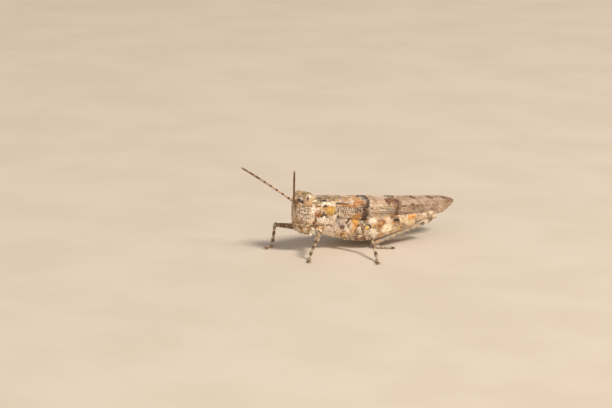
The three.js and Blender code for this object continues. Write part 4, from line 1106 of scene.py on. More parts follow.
def forewing(side, name):
    """A leathery wing folded along the side, with its main veins, forks and the ladders of veins between them."""
    grid, across = wing_grid(side)
    x = grid[..., 0]
    tip = smooth(x, 20, 26)
    lines = [through((WING_ROOT, base), (15, middle), (26, end))(x) + 0.006 * np.sin(x * 1.7 + base * 20)
             for base, middle, end, _ in VEINS]
    height = 0.012 * rough_noise(grid, 0.5, 101)
    # Main veins and their forks.
    veins = 0
    for line, (*_, lift) in zip(lines, VEINS):
        height = height + lift * bell(across - line, 0.011) * (1 - 0.35 * tip)
        veins = np.maximum(veins, bell(across - line, 0.01))
    for fork, slope in ((0.74, -0.012), (0.66, 0.01), (0.56, 0.012), (0.86, 0.008)):
        for start in (14.5, 17.0, 19.5, 22.0):
            line = fork + slope * (x - start)
            height = height + 0.022 * bell(across - line, 0.009) * smooth(x, start, start + 0.5)
    # The ladders of small veins between them. bars is a wider version, for paint.
    ladder, bars = 0, 0
    order = [np.zeros_like(x)] + lines[::-1] + [np.ones_like(x)]
    for k, (low, high) in enumerate(zip(order[:-1], order[1:])):
        inside = (across > low) & (across <= high)
        pitch = 0.3 + 0.1 * (k % 3) / 2 + 0.12 * tip
        bent = x + 0.09 * noise(grid, 0.5, 120 + k) + 0.5 * (across - low) / 0.1 * 0.12 * (-1) ** k
        beat = (bent / pitch + 0.37 * k) % 1
        ladder = np.where(inside, bell(np.minimum(beat, 1 - beat) * pitch, 0.028), ladder)
        bars = np.where(inside, smooth(np.cos(2 * np.pi * beat), -0.2, 0.7), bars)
    height = height + 0.02 * ladder
    height += 0.01 * grains(grid, 0.16, 104) * fade(x, 11, 14)
    outwards = grid_normals(grid, False)
    lifted = raised(grid, height if outwards[100, 10, 2] > 0 else -height, wrap=False)
    # The left wing laps over the right along the back.
    if side == LEFT:
        lap = fade(across, 0.0, 0.2)
        lifted[..., 1] += 0.24 * lap * fade(x, 25.5, 27.2)
        lifted[..., 2] += 0.05 * lap
    else:
        lifted[..., 2] -= 0.06 * fade(across, 0.05, 0.25)

    paint = Paint(lifted, SAND, dots=0.25, flecks=0.25, grain=0.35)
    upper = fade(across, SHOULDER - 0.05, SHOULDER + 0.02)
    ahead = fade(x, 10.6, 11.2)
    beyond = smooth(x + 0.5 * paint.wobble[..., 2], 16.6, 17.6)
    place = stacked(x, across * WING_DEPTH)

    def dab(colour, width, path, share=0.9, soft=0.3, ragged=0.12):
        """A stroke along points given by x and by how far across the wing they lie."""
        paint.stroke(colour, width, np.array(path) * [1, WING_DEPTH], share, soft, ragged, place)

    # The ground, warmer at the shoulder and greyer towards the tip.
    paint.wash((216, 184, 156), 0.7 * upper)
    paint.wash((238, 216, 186), 0.75 * (1 - upper) * (1 - beyond))
    paint.wash((186, 154, 126), 0.95 * beyond)
    paint.mottle((240, 218, 192), 0.8, 0.46, 105, 0.75, 1 - 0.6 * beyond)
    paint.mottle(TAN, 0.6, 0.26, 106, 0.55)
    paint.mottle((216, 150, 80), 0.7, 0.42, 109, 0.8, ahead * (0.35 + 0.65 * upper))
    paint.mottle(BROWN, 0.36, 0.26, 110, 0.75, ahead * smooth(across, 0.4, 0.5))
    paint.mottle((160, 122, 92), 0.5, 0.2, 114, 0.5, (1 - ahead) * (1 - 0.6 * beyond))
    # Bars and lines along the side.
    low = smooth(across, 0.5, 0.53) * fade(across, 0.8, 0.84)
    paint.wash((246, 228, 204), 0.6 * (1 - bars) * low * ahead)
    paint.wash((122, 86, 66), 0.95 * bars * low * ahead * smooth(paint.wobble[..., 1], -0.7, 0.1))
    paint.wash((156, 116, 84), 0.4 * bars * smooth(across, 0.6, 0.64) * (1 - ahead) * (1 - beyond))
    for start, end, share, colour, strength in (
            (11.6, 16.4, 0.545, srgb(206, 156, 92), 0.7), (11.8, 17.6, 0.66, srgb(240, 220, 194), 0.7),
            (12.0, 16.0, 0.73, srgb(172, 126, 82), 0.6), (11.6, 18.4, 0.8, srgb(212, 178, 136), 0.7),
            (11.6, 16.6, 0.88, srgb(198, 146, 84), 0.7), (12.6, 15.4, 0.36, srgb(204, 152, 90), 0.6),
            (7.2, 9.4, 0.87, srgb(214, 164, 96), 0.7), (13.0, 15.0, 0.27, srgb(196, 150, 100), 0.5)):
        dab(colour, 0.09, ((start, share), (end, share)), strength, 0.45, 0.06)
    # Rust and ochre at the shoulder.
    dab((212, 138, 64), 0.17, ((6.9, 0.45), (7.8, 0.46), (9.3, 0.47)), 0.95, 0.3, 0.08)
    dab((218, 150, 76), 0.13, ((7.6, 0.49), (8.4, 0.52)), 0.85)
    dab((206, 134, 64), 0.26, ((9.2, 0.4), (10.8, 0.36)), 0.95, 0.35, 0.2)
    dab((226, 200, 176), 0.16, ((7.4, 0.34), (9.0, 0.34)), 0.8, 0.35, 0.1)
    dab((46, 30, 22), 0.11, ((6.2, 0.38), (7.0, 0.4), (7.5, 0.415)), 0.97, 0.4, 0.08)
    dab((84, 56, 38), 0.09, ((7.4, 0.415), (8.0, 0.425)), 0.8, 0.4, 0.1)
    dab((204, 138, 62), 0.5, ((8.9, 1.0), (9.7, 0.84)), 0.92, 0.35, 0.35)
    dab((206, 146, 74), 0.3, ((9.9, 0.82), (10.6, 0.9)), 0.8, 0.35, 0.3)

    # The first dark band.
    sweep = 1.05 * fade(across, 0.12, SHOULDER) + 0.25 * paint.wobble[..., 0]
    band = smooth(x, 10.05 + sweep, 10.5 + sweep) * fade(x, 11.3 + sweep, 11.5 + sweep)
    ragged = smooth(rough_noise(lifted * [1, 1.3, 1.3], 0.5, 108, 4), -0.4, 0.15)
    paint.wash((82, 60, 40), 0.94 * band * ragged)
    dab((84, 60, 40), 0.5, ((10.9, 0.5), (11.1, 0.74), (10.8, 0.9)), 0.9, 0.35, 0.3)
    dab((62, 47, 38), 0.24, ((10.9, 0.08), (11.6, 0.02), (12.1, 0.06), (11.95, 0.26), (11.5, 0.4)), 0.96, 0.3, 0.2)
    dab((58, 42, 32), 0.26, ((11.5, 0.4), (11.3, 0.5)), 0.96, 0.3, 0.2)
    dab((64, 47, 36), 0.19, ((10.75, 0.57), (10.7, 0.66), (11.35, 0.72), (11.3, 0.8)), 0.95, 0.3, 0.18)
    dab((60, 42, 32), 0.22, ((10.9, 0.9), (10.9, 1.02)), 0.95, 0.3, 0.2)
    dab((70, 52, 38), 0.14, ((10.0, 0.62), (10.05, 0.7)), 0.9)
    dab((70, 52, 38), 0.12, ((9.6, 0.6), (9.65, 0.68)), 0.9)
    dab((170, 158, 140), 0.34, ((11.35, 0.2), (11.45, 0.24)), 0.85, 0.35, 0.1)

    # The second band, brown with dark edges and a grey spot.
    dab((146, 100, 70), 0.62, ((15.6, 0.3), (16.9, 0.32), (16.9, 0.6), (16.6, 0.82), (16.4, 1.0)), 0.88, 0.35, 0.4)
    dab((134, 82, 52), 0.34, ((15.3, 0.28), (16.9, 0.25)), 0.9, 0.35, 0.25)
    dab((104, 68, 48), 0.26, ((16.9, 0.28), (16.95, 0.5), (16.7, 0.72), (16.4, 0.95)), 0.92, 0.35, 0.25)
    dab((96, 62, 44), 0.16, ((15.1, 0.24), (15.3, 0.42)), 0.85, 0.35, 0.12)
    dab((116, 74, 50), 0.22, ((15.3, 0.93), (16.2, 0.95)), 0.85, 0.35, 0.2)
    dab((66, 56, 48), 0.33, ((15.9, 0.03), (17.0, 0.06)), 0.97, 0.3, 0.15)
    dab((186, 170, 156), 0.36, ((15.0, 0.6), (15.8, 0.64)), 0.85, 0.35, 0.15)
    dab((208, 158, 94), 0.1, ((15.0, 0.48), (16.6, 0.48)), 0.7, 0.4, 0.08)
    dab((206, 154, 86), 0.16, ((15.2, 0.82), (16.2, 0.82)), 0.7, 0.4, 0.15)

    # Spots, then the dusky tip.
    for spot_x, share, size, strength in (
            (20.4, 0.16, 0.34, 0.95), (21.75, 0.19, 0.24, 0.5), (23.4, 0.17, 0.36, 0.9), (24.7, 0.16, 0.28, 0.6),
            (26.0, 0.2, 0.4, 0.9), (18.0, 0.46, 0.3, 0.85), (19.55, 0.45, 0.3, 0.9), (20.35, 0.5, 0.24, 0.7),
            (19.7, 0.62, 0.26, 0.55), (21.3, 0.48, 0.2, 0.4), (18.3, 0.8, 0.36, 0.4), (22.4, 0.5, 0.22, 0.35),
            (24.3, 0.46, 0.24, 0.4), (21.4, 0.78, 0.24, 0.35), (23.3, 0.72, 0.22, 0.35), (12.1, 0.54, 0.14, 0.9),
            (14.0, 0.57, 0.16, 0.6), (13.2, 0.24, 0.18, 0.4), (8.3, 0.2, 0.24, 0.5), (9.8, 0.62, 0.2, 0.8),
            (9.2, 0.56, 0.16, 0.7), (8.2, 0.86, 0.18, 0.5), (14.6, 0.2, 0.2, 0.35), (17.9, 0.12, 0.2, 0.4)):
        dab((98, 66, 44), size, ((spot_x - 0.1, share), (spot_x + 0.1, share)), strength, 0.4, 0.25)
    paint.wash((128, 92, 66), 0.75 * smooth(x, 25.4, 26.6) * fade(across, 0.4, 0.65))
    # Painted shade along the crease below the spots, towards the tip.
    dab((158, 122, 98), 0.3, ((22.5, 0.34), (26.5, 0.4)), 0.5, 0.5, 0.15)
    paint.wash((140, 104, 74), 0.26 * ladder * (1 - 0.6 * beyond))
    paint.wash((160, 120, 84), 0.3 * veins)
    paint.mark(DOTS, 0.05, smooth(x, 12, 14))
    paint.mark(DOTS, 0.5, ahead * (1 - upper))
    paint.mark(FLECKS, 0.1, smooth(x, 17, 20))
    piece = Shape()
    piece.plate(lifted, 0.1, paint)
    piece.finish(f"forewing_{name}_blade", WING, "wing", f"forewing_{name}")


def hindwing(side, name):
    """The pleated fan of the hindwing, folded under the forewing."""
    x = np.linspace(12.4, 25.4, 120)
    low = through((12.4, 5.82), (16, 5.15), (19.5, 4.5), (22, 4.15), (25.2, 4.3))
    wide = through((12.4, 0.42), (20, 0.42), (25.4, 0.2))
    grid = barrel(x, lambda v: BACK(v) - 0.75, low, wide, 96)
    grid[..., 1] += side * through((12.4, 0.5), (20, 0.5), (25.4, 0.3))(x)[:, None]
    turn = turns(96)
    grid = raised(grid, 0.035 * np.cos(12 * turn)[None, :])
    paint = Paint(grid, (196, 186, 168), 0.02, 0.05, 0.3)
    piece = Shape(grid, paint)
    piece.finish(f"hindwing_{name}_fan", FAN, "hindwing", f"hindwing_{name}")


# ---------------------------------------------------------------- legs
SOLE = 0.2
LEGS = {  # hip, socket, knee, ankle and toe
    "fore_left": ((3.9, -1.3, 3.45), (3.25, -2.1, 2.75), (1.05, -4.95, 2.9), (0.45, -4.35, 0.62), (-0.75, -5.85, SOLE)),
    "fore_right": ((3.9, 1.3, 3.45), (3.15, 2.1, 2.85), (0.1, 4.25, 3.05), (-0.3, 4.1, 0.62), (-1.95, 3.05, SOLE)),
    "middle_left": ((7.6, -1.5, 2.2), (8.3, -2.5, 1.75), (9.55, -6.0, 2.45), (8.3, -9.15, 0.62), (7.4, -10.8, SOLE)),
    "middle_right": ((7.6, 1.5, 2.2), (8.2, 2.5, 1.8), (9.3, 5.7, 2.75), (8.8, 8.4, 0.62), (7.9, 10.15, SOLE)),
    "hind_left": ((10.5, -1.7, 2.3), (9.75, -3.12, 2.85), (22.3, -3.25, 4.0), (11.9, -3.35, 0.75), (14.1, -4.75, SOLE)),
    "hind_right": ((10.5, 1.7, 2.3), (9.75, 3.12, 2.85), (22.1, 3.5, 4.15), (11.7, 3.6, 0.75), (13.9, 5.0, SOLE)),
}


def ribbed(grid, t, ribs, lift, seed):
    """Fine lengthwise ribs and a slight unevenness on a limb."""
    turn = 2 * np.pi * (np.arange(grid.shape[1]) + 0.5) / grid.shape[1]
    along = smooth(t, 0.05, 0.15) * fade(t, 0.85, 0.95)
    uneven = 0.6 * lift * rough_noise(grid, 0.3, seed)
    return raised(grid, lift * along[:, None] * np.cos(ribs * turn) + uneven)


def round_limb(way):
    """Directions sideways from and underneath a limb that runs along way."""
    sideways = unit(np.cross(way, [0, 0, 1.0]))
    under = unit(np.cross(way, sideways))
    return sideways, under if under[2] < 0.2 else -under


def rings_of(paint, t, places, colour, width, share=0.9):
    """Bands of colour round a limb at the given shares of its length."""
    edge = t[:, None] + 0.03 * paint.wobble[..., 0]
    for place in places:
        paint.wash(colour, share * fade(np.abs(edge - place), width * 0.6, width * 1.3))


def coxa(name, hip, socket, wide):
    """The short stout joint that holds a leg to the body, ridged along its outer face."""
    t = eased(60)
    path = between(hip - 0.15 * (socket - hip), socket, t * 1.05)
    thick = through((0, 0.8), (0.4, 1.0), (0.74, 0.84), (0.84, 0.62), (0.9, 0.7), (1, 0.58))(t) * wide
    grid = tube(path, thick * rounded(t, 0.1, 0.14), sides=60)
    turn = turns(60, 0.5)
    along = (smooth(t, 0.08, 0.2) * fade(t, 0.74, 0.84))[:, None]
    valleys = bell(np.sin(1.5 * turn + 1.3), 0.2)
    height = wide * along * (0.1 * bell(np.sin(1.5 * turn + 0.6), 0.22) - 0.07 * valleys)
    height = height + 0.03 * rough_noise(grid, 0.35, 111)
    grid = raised(grid, height + 0.012 * grains(grid, 0.12, 113))
    paint = Paint(grid, CREAM, 0.35, 0.35, 0.7)
    paint.mottle(WHITE, 0.4, 0.5, 114, 0.9)
    warm = smooth(rough_noise(grid, 0.5, 115), -0.3, 0.2) * fade(t, 0.6, 0.8)[:, None]
    paint.wash((218, 162, 90), 0.85 * warm)
    paint.mottle((126, 88, 54), 0.36, 0.42, 112, 0.85)
    paint.wash((96, 66, 42), 0.8 * bell(t - 0.83, 0.035)[:, None])
    paint.wash((110, 78, 50), 0.6 * along * valleys)
    piece = Shape(grid, paint)
    hairs(piece, grid, 60, 0.16)
    piece.finish(f"coxa_{name}_joint", LIMB, "leg", f"coxa_{name}")


def walking_femur(name, socket, knee, size):
    """The thigh of a walking leg, with its short trochanter at the hip and two lobes at the knee."""
    t = eased(90)
    path = between(socket - 0.08 * (knee - socket), knee + 0.05 * (knee - socket), t)
    thick = through((0, 0.55), (0.08, 0.72), (0.13, 0.6), (0.3, 0.95), (0.62, 0.84), (0.85, 0.66), (0.94, 0.78),
                    (1, 0.6))(t) * size * rounded(t, 0.05, 0.08)
    grid = ribbed(tube(path, thick * 0.82, thick, sides=56), t, 8, 0.014, 121)
    paint = Paint(grid, (216, 188, 152), 0.3, 0.25, 0.5)
    paint.mottle(WHITE, 0.4, 0.34, 123, 0.8)
    paint.mottle((202, 150, 88), 0.5, 0.4, 122, 0.75)
    paint.mottle((122, 88, 56), 0.36, 0.34, 124, 0.8)
    rings_of(paint, t, (0.36, 0.7), BROWN, 0.085, 0.85)
    rings_of(paint, t, (0.1, 0.93), DARK, 0.04, 0.8)
    # Painted shade: the thigh on the far side is darkened all over.
    if name == "fore_right":
        paint.wash((104, 76, 52), 0.62)
    piece = Shape(grid, paint)
    way = unit(knee - socket)
    sideways = unit(np.cross(way, [0, 0, 1.0]))
    for hand in (LEFT, RIGHT):
        middle = knee + sideways * hand * size * 0.52 - way * 0.05 - np.array([0, 0, 0.06])
        piece.closed(ball(middle, (size * 0.34, size * 0.34, size * 0.5), 24, 16), CREAM * 0.75, (0.1, 0.1, 0.4))
    hairs(piece, grid, 70, 0.16)
    piece.finish(f"femur_{name}_thigh", LIMB, "leg", f"femur_{name}")


def walking_tibia(name, knee, ankle, size):
    """The shin of a walking leg, with two rows of spines below and spurs at its end."""
    t = eased(80)
    path = between(knee, ankle + 0.03 * (ankle - knee), t)
    thick = through((0, 1.15), (0.1, 0.86), (0.7, 0.82), (0.92, 1.0), (1, 0.9))(t) * size * rounded(t, 0.05, 0.06)
    grid = ribbed(tube(path, thick, sides=44), t, 6, 0.01, 131)
    paint = Paint(grid, CREAM * 0.82, 0.2, 0.2, 0.4)
    paint.mottle((176, 146, 108), 0.4, 0.46, 132, 0.75)
    rings_of(paint, t, (0.12, 0.46, 0.86), BROWN * 0.7, 0.105, 0.92)
    paint.wash(OCHRE, 0.3 * bell(t - 0.3, 0.1)[:, None])
    piece = Shape(grid, paint)
    way = unit(ankle - knee)
    sideways, under = round_limb(way)
    for hand in (LEFT, RIGHT):
        roots = between(knee, ankle, np.linspace(0.35, 0.95, 6)) + (under + hand * 0.8 * sideways) * size * 0.5
        ways = under + hand * 0.9 * sideways + 0.7 * way
        piece.cones(roots, ways, 0.22, 0.032, CREAM, DARK)
        piece.cones(ankle + hand * sideways * size * 0.7, way + hand * 0.5 * sideways, 0.26, 0.036, CREAM, DARK)
    hairs(piece, grid, 60, 0.18)
    piece.finish(f"tibia_{name}_shin", LIMB, "leg", f"tibia_{name}")


FOOT_JOINTS = (  # start and end along the foot, thickness, and how many pads it has below
    (0.0, 0.42, 1.08, 3), (0.41, 0.6, 1.0, 1), (0.58, 1.02, 0.82, 0))


def on_floor(grid):
    """Flattens what would sink into the floor."""
    grid[..., 2] = np.maximum(grid[..., 2], 0.0)
    return grid


def tarsus(name, ankle, toe, size, material, slot, base):
    """Three foot joints with pads below, two claws and the soft pad between them."""
    way = unit((toe - ankle) * [1, 1, 0])
    side = np.array([-way[1], way[0], 0])
    heel = ankle + way * size * 0.2
    heel[2] = SOLE + 0.16
    piece = Shape()
    for start, end, fat, pads in FOOT_JOINTS:
        t = eased(46)
        share = start + (end - start) * t
        path = between(heel, toe, share)
        path[:, 2] = SOLE + 0.03 + (heel[2] - SOLE) * np.clip(1 - share / 0.3, 0, 1)
        thick = size * fat * through((0, 0.62), (0.3, 0.86), (0.8, 1.0), (1, 0.78))(t) * rounded(t, 0.12, 0.12)
        thick = thick * (1 + 0.05 * np.sin(t * pads * 2 * np.pi))
        grid = on_floor(tube(path, thick * 0.9, thick * 0.95, thick * 1.15, sides=36))
        paint = Paint(grid, base, 0.15, 0.15, 0.4)
        paint.wash(BROWN * 0.8, 0.75 * smooth(t, 0.62, 0.9)[:, None])
        paint.wash(SAND, 0.7 * fade(grid[..., 2], 0.02, 0.12))
        piece.painted(grid, paint)
        hairs(piece, grid, 26, 0.12, lambda p: p[:, 2] > 0.1)
    for hand in (LEFT, RIGHT):
        t = eased(20)
        swing = np.sin(t * 1.5)[:, None]
        path = toe + [0, 0, 0.02] + way * (0.46 * t[:, None]) + side * hand * (0.06 + 0.3 * swing)
        path[:, 2] += 0.07 * np.sin(np.pi * t) - 0.12 * t**2
        colour = BROWN * 0.9 + (BLACK - BROWN * 0.9) * smooth(t, 0.3, 0.8)[:, None]
        piece.closed(on_floor(tube(path, 0.07 * (1 - 0.82 * t), sides=14)), colour[:, None], (0, 0, 0.1))
    pad = on_floor(ball(toe + way * 0.16 + [0, 0, -0.06], (0.15, 0.12, 0.1), 24, 16))
    piece.closed(pad, srgb(140, 112, 86), (0, 0, 0.2))
    piece.finish(f"tarsus_{name}_foot", material, slot, f"tarsus_{name}")


THIGH_LONG, CHEVRON_STEP = 12.6, 0.46
THIGH_RISE = through((0, 0.7), (0.06, 1.25), (0.15, 1.55), (0.32, 1.22), (0.53, 0.86), (0.74, 0.58), (0.86, 0.45),
                     (0.94, 0.55), (1, 0.4))
THIGH_DROP = through((0, 0.75), (0.06, 1.35), (0.15, 1.75), (0.32, 1.62), (0.53, 1.32), (0.74, 0.92), (0.86, 0.55),
                     (0.94, 0.55), (1, 0.38))
THIGH_WIDE = through((0, 0.36), (0.14, 0.58), (0.3, 0.62), (0.6, 0.45), (0.86, 0.33), (0.94, 0.4), (1, 0.3))


def hind_femur(name, side, socket, knee):
    """The jumping thigh: deep and flat, keeled above and below, with herringbone ridges on its outer face."""
    t = np.concatenate([[0.0, 0.004, 0.012], np.linspace(0.02, 0.985, 330), [0.992, 0.997, 1.0]])
    path = between(socket, knee, t)
    close = rounded(t, 0.03, 0.03)
    wide, rise, drop = (curve(t) * close for curve in (THIGH_WIDE, THIGH_RISE, THIGH_DROP))
    sides = 132
    grid = tube(path, wide, rise, drop, sides, power=0.86)
    turn = turns(sides, 0.5)
    level = np.broadcast_to(signed_power(np.sin(turn), 0.86), grid.shape[:2])
    outside = smooth(side * (grid[..., 1] - path[:, None, 1]) / np.maximum(wide[:, None], 0.05), 0.2, 0.6)
    body = (smooth(t, 0.07, 0.14) * fade(t, 0.8, 0.88))[:, None]
    tall = ((rise + drop) / 2)[:, None]
    off = level - 0.08  # from the line that the herringbone meets on
    # Two keels round the outer face, herringbone ridges between them, and the ridges above and below.
    keels = bell(off - 0.52, 0.05) + bell(off + 0.56, 0.05)
    height = 0.07 * body * outside * keels
    phase = t[:, None] * THIGH_LONG + 0.55 * np.abs(off) * tall
    chevrons = np.cos(phase * 2 * np.pi / CHEVRON_STEP)
    field = body * outside * fade(np.abs(off), 0.4, 0.5)
    height = height + 0.035 * field * chevrons - 0.03 * field * bell(off, 0.05)
    height = height + np.where(level > 0, 0.06, 0.04) * body * bell(np.cos(turn), 0.12)
    height = height + 0.012 * rough_noise(grid, 0.4, 141)
    knee_line = bell((t[:, None] - 0.905) * THIGH_LONG + 0.35 * level**2, 0.07) * (np.abs(level) < 0.95)
    height = height - 0.05 * knee_line
    grid = raised(grid, height)

    paint = Paint(grid, (203, 175, 143), dots=0.26, flecks=0.3, grain=0.5)
    behind = smooth(grid[..., 0], 15.2, 17.0)
    paint.mottle(WHITE, 0.8, 0.36, 144, 0.82, 1 - 0.55 * behind)
    paint.mottle((204, 158, 98), 0.7, 0.4, 142, 0.75)
    paint.mottle((156, 128, 100), 0.45, 0.4, 145, 0.85)
    paint.mottle((120, 86, 54), 0.3, 0.23, 148, 0.8, smooth(level, -0.2, 0.3))
    paint.wash(TAN, 0.3 * field * smooth(chevrons, 0.1, 0.8))
    paint.wash(BROWN, 0.4 * field * smooth(-chevrons, 0.75, 1.0) * (0.5 + 0.5 * noise(grid, 1.5, 143)))
    paint.wash((204, 172, 150), 0.6 * smooth(t, 0.72, 0.85)[:, None] * fade(level, -0.3, 0.2))
    place = stacked(grid[..., 0], level * tall)

    def dab(colour, width, path, share=0.9, soft=0.3, ragged=0.12):
        """A stroke along points given by x and by height over the thigh's middle."""
        paint.stroke(colour, width, path, share, soft, ragged, place)

    # From the hip to the knee: the dark arch round the hip, pale and ochre patches, the black spot, the orange one.
    dab((110, 76, 46), 0.1, ((9.95, 0.15), (10.15, 0.6), (10.5, 0.8), (10.95, 0.62), (11.05, 0.2)), 0.85, 0.35, 0.08)
    dab(BLACK, 0.1, ((10.5, 0.78), (10.95, 0.6), (11.02, 0.25)), 0.85, 0.35, 0.05)
    dab((112, 76, 44), 0.2, ((9.7, 1.2), (10.3, 1.45), (11.0, 1.5)), 0.8, 0.4, 0.25)
    dab((204, 152, 84), 0.22, ((11.4, 0.62), (12.1, 0.72)), 0.85, 0.4, 0.2)
    dab((196, 144, 76), 0.16, ((13.3, 1.2), (14.8, 1.05), (16.2, 0.95)), 0.75, 0.4, 0.2)
    dab((134, 96, 58), 0.16, ((12.3, -0.3), (12.7, -0.7), (12.9, -1.2)), 0.7, 0.4, 0.2)
    dab((244, 232, 212), 0.45, ((11.4, -0.5), (11.9, -0.9)), 0.65, 0.4, 0.3)
    dab((228, 184, 84), 0.2, ((10.45, 0.3), (10.6, 0.35)), 0.95, 0.3, 0.05)
    dab((242, 222, 196), 0.38, ((11.25, 1.2), (11.8, 1.1)), 0.65, 0.4, 0.25)
    dab((238, 210, 186), 0.36, ((13.9, 0.85), (14.4, 0.8)), 0.75, 0.35, 0.15)
    dab((244, 226, 188), 0.5, ((13.5, -0.25), (14.2, -0.2)), 0.7, 0.4, 0.25)
    hook = ((12.25, 1.15), (12.9, 1.1), (13.2, 0.6), (12.9, 0.15), (12.5, 0.15), (12.35, 0.5))
    dab((150, 94, 44), 0.17, hook, 0.9, 0.35, 0.15)
    dab((214, 156, 88), 0.22, ((12.7, 0.6), (12.8, 0.62)), 0.85, 0.35, 0.08)
    dab((178, 112, 48), 0.22, ((12.8, 0.2), (12.4, 0.0)), 0.75, 0.4, 0.15)
    dab((190, 124, 52), 0.2, ((14.9, 0.25), (15.2, 0.3)), 0.85, 0.35, 0.12)
    dab(BLACK, 0.3, ((15.15, 0.62), (15.7, 0.55)), 0.98, 0.25, 0.1)
    dab((104, 74, 46), 0.2, ((14.6, 1.1), (15.1, 1.05), (15.7, 0.9)), 0.85, 0.35, 0.15)
    dab((148, 106, 64), 0.2, ((15.6, 0.15), (16.1, -0.2), (16.3, -0.6)), 0.75, 0.4, 0.2)
    dab((240, 216, 170), 0.4, ((16.6, 0.35), (17.2, 0.2)), 0.6, 0.4, 0.2)
    dab((222, 154, 76), 0.36, ((17.8, 0.5), (18.7, 0.4)), 0.92, 0.4, 0.2)
    dab((236, 206, 160), 0.35, ((17.6, -0.3), (18.3, -0.25)), 0.7, 0.4, 0.15)
    dab((150, 134, 108), 0.18, ((20.9, 0.2), (21.1, 0.2)), 0.8, 0.35, 0.1)
    dab((236, 214, 190), 0.25, ((20.3, 0.25), (20.5, 0.25)), 0.8, 0.35, 0.1)
    dab((190, 132, 74), 0.3, ((12.3, -1.0), (13.0, -1.0)), 0.5, 0.4, 0.2)
    dab((150, 112, 84), 0.2, ((19.4, -0.45), (19.9, -0.4)), 0.6, 0.4, 0.15)
    paint.wash(BROWN, 0.5 * knee_line)
    paint.mark(DOTS, 0.1, field)
    piece = Shape(grid, paint)
    # The two lobes at the knee.
    way = unit(knee - socket)
    for hand in (LEFT, RIGHT):
        middle = knee - way * 0.26 + [0, hand * 0.3, -0.26]
        lobe = ball(middle, (0.52, 0.12, 0.33), 40, 28, 0.55)
        lobe = raised(lobe, 0.01 * rough_noise(lobe, 0.2, 146))
        paint_lobe = Paint(lobe, (222, 196, 158), 0.2, 0.2, 0.4)
        paint_lobe.mottle((190, 156, 116), 0.3, 0.4, 147, 0.8)
        rim = np.linalg.norm((lobe - middle) / [0.5, 9, 0.36], axis=-1)
        paint_lobe.wash((96, 68, 46), 0.7 * smooth(rim, 0.7, 0.95))
        piece.painted(lobe, paint_lobe)
    hairs(piece, grid, 160, 0.2, lambda p: (p[:, 2] < 3.0) | (p[:, 0] > 20), lie=(0.4, 0, -0.3))
    piece.finish(f"femur_{name}_thigh", LIMB, "leg", f"femur_{name}")


def hind_tibia(name, knee, ankle):
    """The long tan shin under the thigh, with two rows of dark-tipped spines and four spurs."""
    start = knee + [-0.1, 0, -0.84]
    t = eased(240)
    path = between(start, ankle, t * 1.01)
    path += np.array([0.02, 0, 0.62]) * fade(t, 0.0, 0.085)[:, None]
    thick = through((0, 0.26), (0.03, 0.32), (0.08, 0.25), (0.16, 0.225), (0.85, 0.21), (0.96, 0.28), (1, 0.24))(t)
    thick = thick * rounded(t, 0.02, 0.025)
    grid = ribbed(tube(path, thick * 0.92, thick, sides=52), t, 5, 0.012, 151)
    paint = Paint(grid, (178, 156, 128), 0.2, 0.15, 0.3)
    paint.mottle(BLUE_GREY, 0.9, 0.4, 152, 0.55)
    paint.mottle((206, 178, 142), 0.7, 0.36, 154, 0.7)
    paint.mottle((120, 90, 62), 0.4, 0.3, 153, 0.7)
    rings_of(paint, t, (0.13,), CREAM, 0.035, 0.9)
    rings_of(paint, t, (0.055, 0.2), BROWN, 0.025, 0.7)
    rings_of(paint, t, (0.97,), TAN, 0.02, 0.7)
    piece = Shape(grid, paint)
    way = unit(ankle - start)
    sideways, under = round_limb(way)
    for hand, count in ((LEFT, 9), (RIGHT, 10)):
        out = hand * sideways
        roots = between(start, ankle, np.linspace(0.26, 0.94, count)) + (under * 0.75 + out * 0.62) * 0.2
        ways = under * 0.95 + out * 0.62 + way * 0.75
        piece.cones(roots, ways, 0.34, 0.045, srgb(222, 208, 182), BLACK, sides=8)
        for push, drop, long in ((0.9, 0.05, 0.46), (0.3, -0.05, 0.34)):
            ways = way * push + out * 0.6 + under * 0.3
            piece.cones(ankle + out * 0.17 + under * drop, ways, long, 0.05, srgb(214, 196, 166), BLACK, sides=8)
    hairs(piece, grid, 160, 0.2, lie=(-0.2, 0, 0))
    piece.finish(f"tibia_{name}_shin", SHIN, "shin", f"tibia_{name}")


def legs():
    """All six legs, from the hips to the claws."""
    for name, places in LEGS.items():
        hip, socket, knee, ankle, toe = (np.array(place) for place in places)
        side = LEFT if name.endswith("left") else RIGHT
        if name.startswith("hind"):
            coxa(name, hip, socket, 0.8)
            hind_femur(name, side, socket, knee)
            hind_tibia(name, knee, ankle)
            tarsus(name, ankle, toe, 0.25, SHIN, "shin", srgb(186, 172, 150))
        else:
            coxa(name, hip, socket, 0.57)
            walking_femur(name, socket, knee, 0.42 if name.startswith("fore") else 0.44)
            walking_tibia(name, knee, ankle, 0.24)
            tarsus(name, ankle, toe, 0.22, LIMB, "leg", CREAM * 0.76)


# ---------------------------------------------------------------- floor, light and camera
FLOOR_SIZE = 4.0  # metres, so that its edges are far from the insect


def stage():
    """A plain pale floor at the level of the feet."""
    bpy.ops.mesh.primitive_plane_add(size=FLOOR_SIZE, location=(0, 0, 0))
    floor = bpy.context.object
    floor.name = "floor"
    n = Nodes("pale_floor")
    cloud = n.noise(n.add("TexCoord").outputs["Object"], 60.0, 3.0)
    tone = n.blend(n.ramp(cloud, 0.35, 0.65), (*srgb(214, 199, 181), 1), (*srgb(219, 204, 187), 1))
    floor.data.materials.append(n.finished({"Base Color": tone, "Roughness": 0.9}))


CAMERA_AZIMUTH, CAMERA_ELEVATION, CAMERA_ROLL = math.radians(-34), math.radians(13.5), math.radians(2)
CAMERA_DISTANCE = 370 * MM
PIXELS_PER_MM = 7.2  # at the eye
EYE_PIXEL = (308.2, 201.0)
FRAME_WIDE, FRAME_TALL = 612, 408


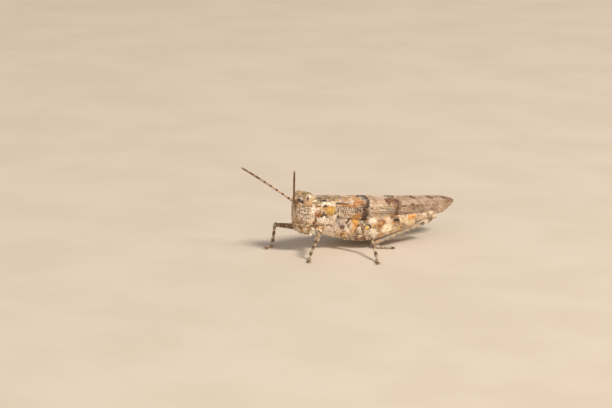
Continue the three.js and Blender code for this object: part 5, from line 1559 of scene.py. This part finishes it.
def camera():
    """The photo's view. Returns the picture's right and the way back towards the camera."""
    a, e, roll = CAMERA_AZIMUTH, CAMERA_ELEVATION, CAMERA_ROLL
    back = Vector((math.sin(a) * math.cos(e), -math.cos(a) * math.cos(e), math.sin(e)))
    level = Vector((0, 0, 1)).cross(back).normalized()
    rise = back.cross(level)
    right = level * math.cos(roll) + rise * math.sin(roll)
    up = -level * math.sin(roll) + rise * math.cos(roll)
    eye_place = Vector((EYE + SHIFT) * MM)
    sideways = (EYE_PIXEL[0] - FRAME_WIDE / 2) / PIXELS_PER_MM * MM
    upwards = (FRAME_TALL / 2 - EYE_PIXEL[1]) / PIXELS_PER_MM * MM
    aim = eye_place - right * sideways - up * upwards
    data = bpy.data.cameras.new("camera")
    data.sensor_width = 36
    data.lens = 36 * PIXELS_PER_MM * CAMERA_DISTANCE / MM / FRAME_WIDE
    data.clip_start, data.clip_end = 0.01, 20
    made = bpy.data.objects.new("camera", data)
    bpy.context.scene.collection.objects.link(made)
    turn = Matrix((right, up, back)).transposed().to_4x4()
    made.matrix_world = Matrix.Translation(aim + back * CAMERA_DISTANCE) @ turn
    bpy.context.scene.camera = made
    return right, back


def area_light(name, direction, distance, size, power, colour):
    """A square lamp that faces the insect from a direction."""
    data = bpy.data.lights.new(name, "AREA")
    data.energy, data.size, data.color = power, size, colour
    made = bpy.data.objects.new(name, data)
    bpy.context.scene.collection.objects.link(made)
    direction = Vector(direction).normalized()
    made.location = direction * distance
    made.rotation_mode = "QUATERNION"
    made.rotation_quaternion = direction.to_track_quat("Z", "Y")


def lights(right, back):
    """A soft warm key from the picture's upper right, a wide fill from its left and a pale room."""
    ahead = Vector((back.x, back.y, 0)).normalized()
    sideways = Vector((right.x, right.y, 0)).normalized()
    sky = Vector((0, 0, 1))
    area_light("key", sideways * 0.75 + ahead * 0.45 + sky * 1.0, 1.2, 0.34, 13.9, (1.0, 0.93, 0.84))
    area_light("fill", -sideways * 0.7 + ahead * 1.0 + sky * 0.5, 1.4, 1.17, 3.6, (0.97, 0.97, 1.0))
    world = bpy.data.worlds.new("studio")
    world.use_nodes = True
    world.node_tree.nodes["Background"].inputs[0].default_value = (0.9, 0.86, 0.82, 1)
    world.node_tree.nodes["Background"].inputs[1].default_value = 0.4
    bpy.context.scene.world = world
    bpy.context.scene.view_settings.view_transform = "Standard"


stage()
lights(*camera())
head()
labrum()
labium()
pronotum()
thorax()
abdomen()
tail()
for side, name in SIDES:
    eye(side, name)
    antenna(name)
    mouthparts(side, name)
    forewing(side, name)
    hindwing(side, name)
legs()
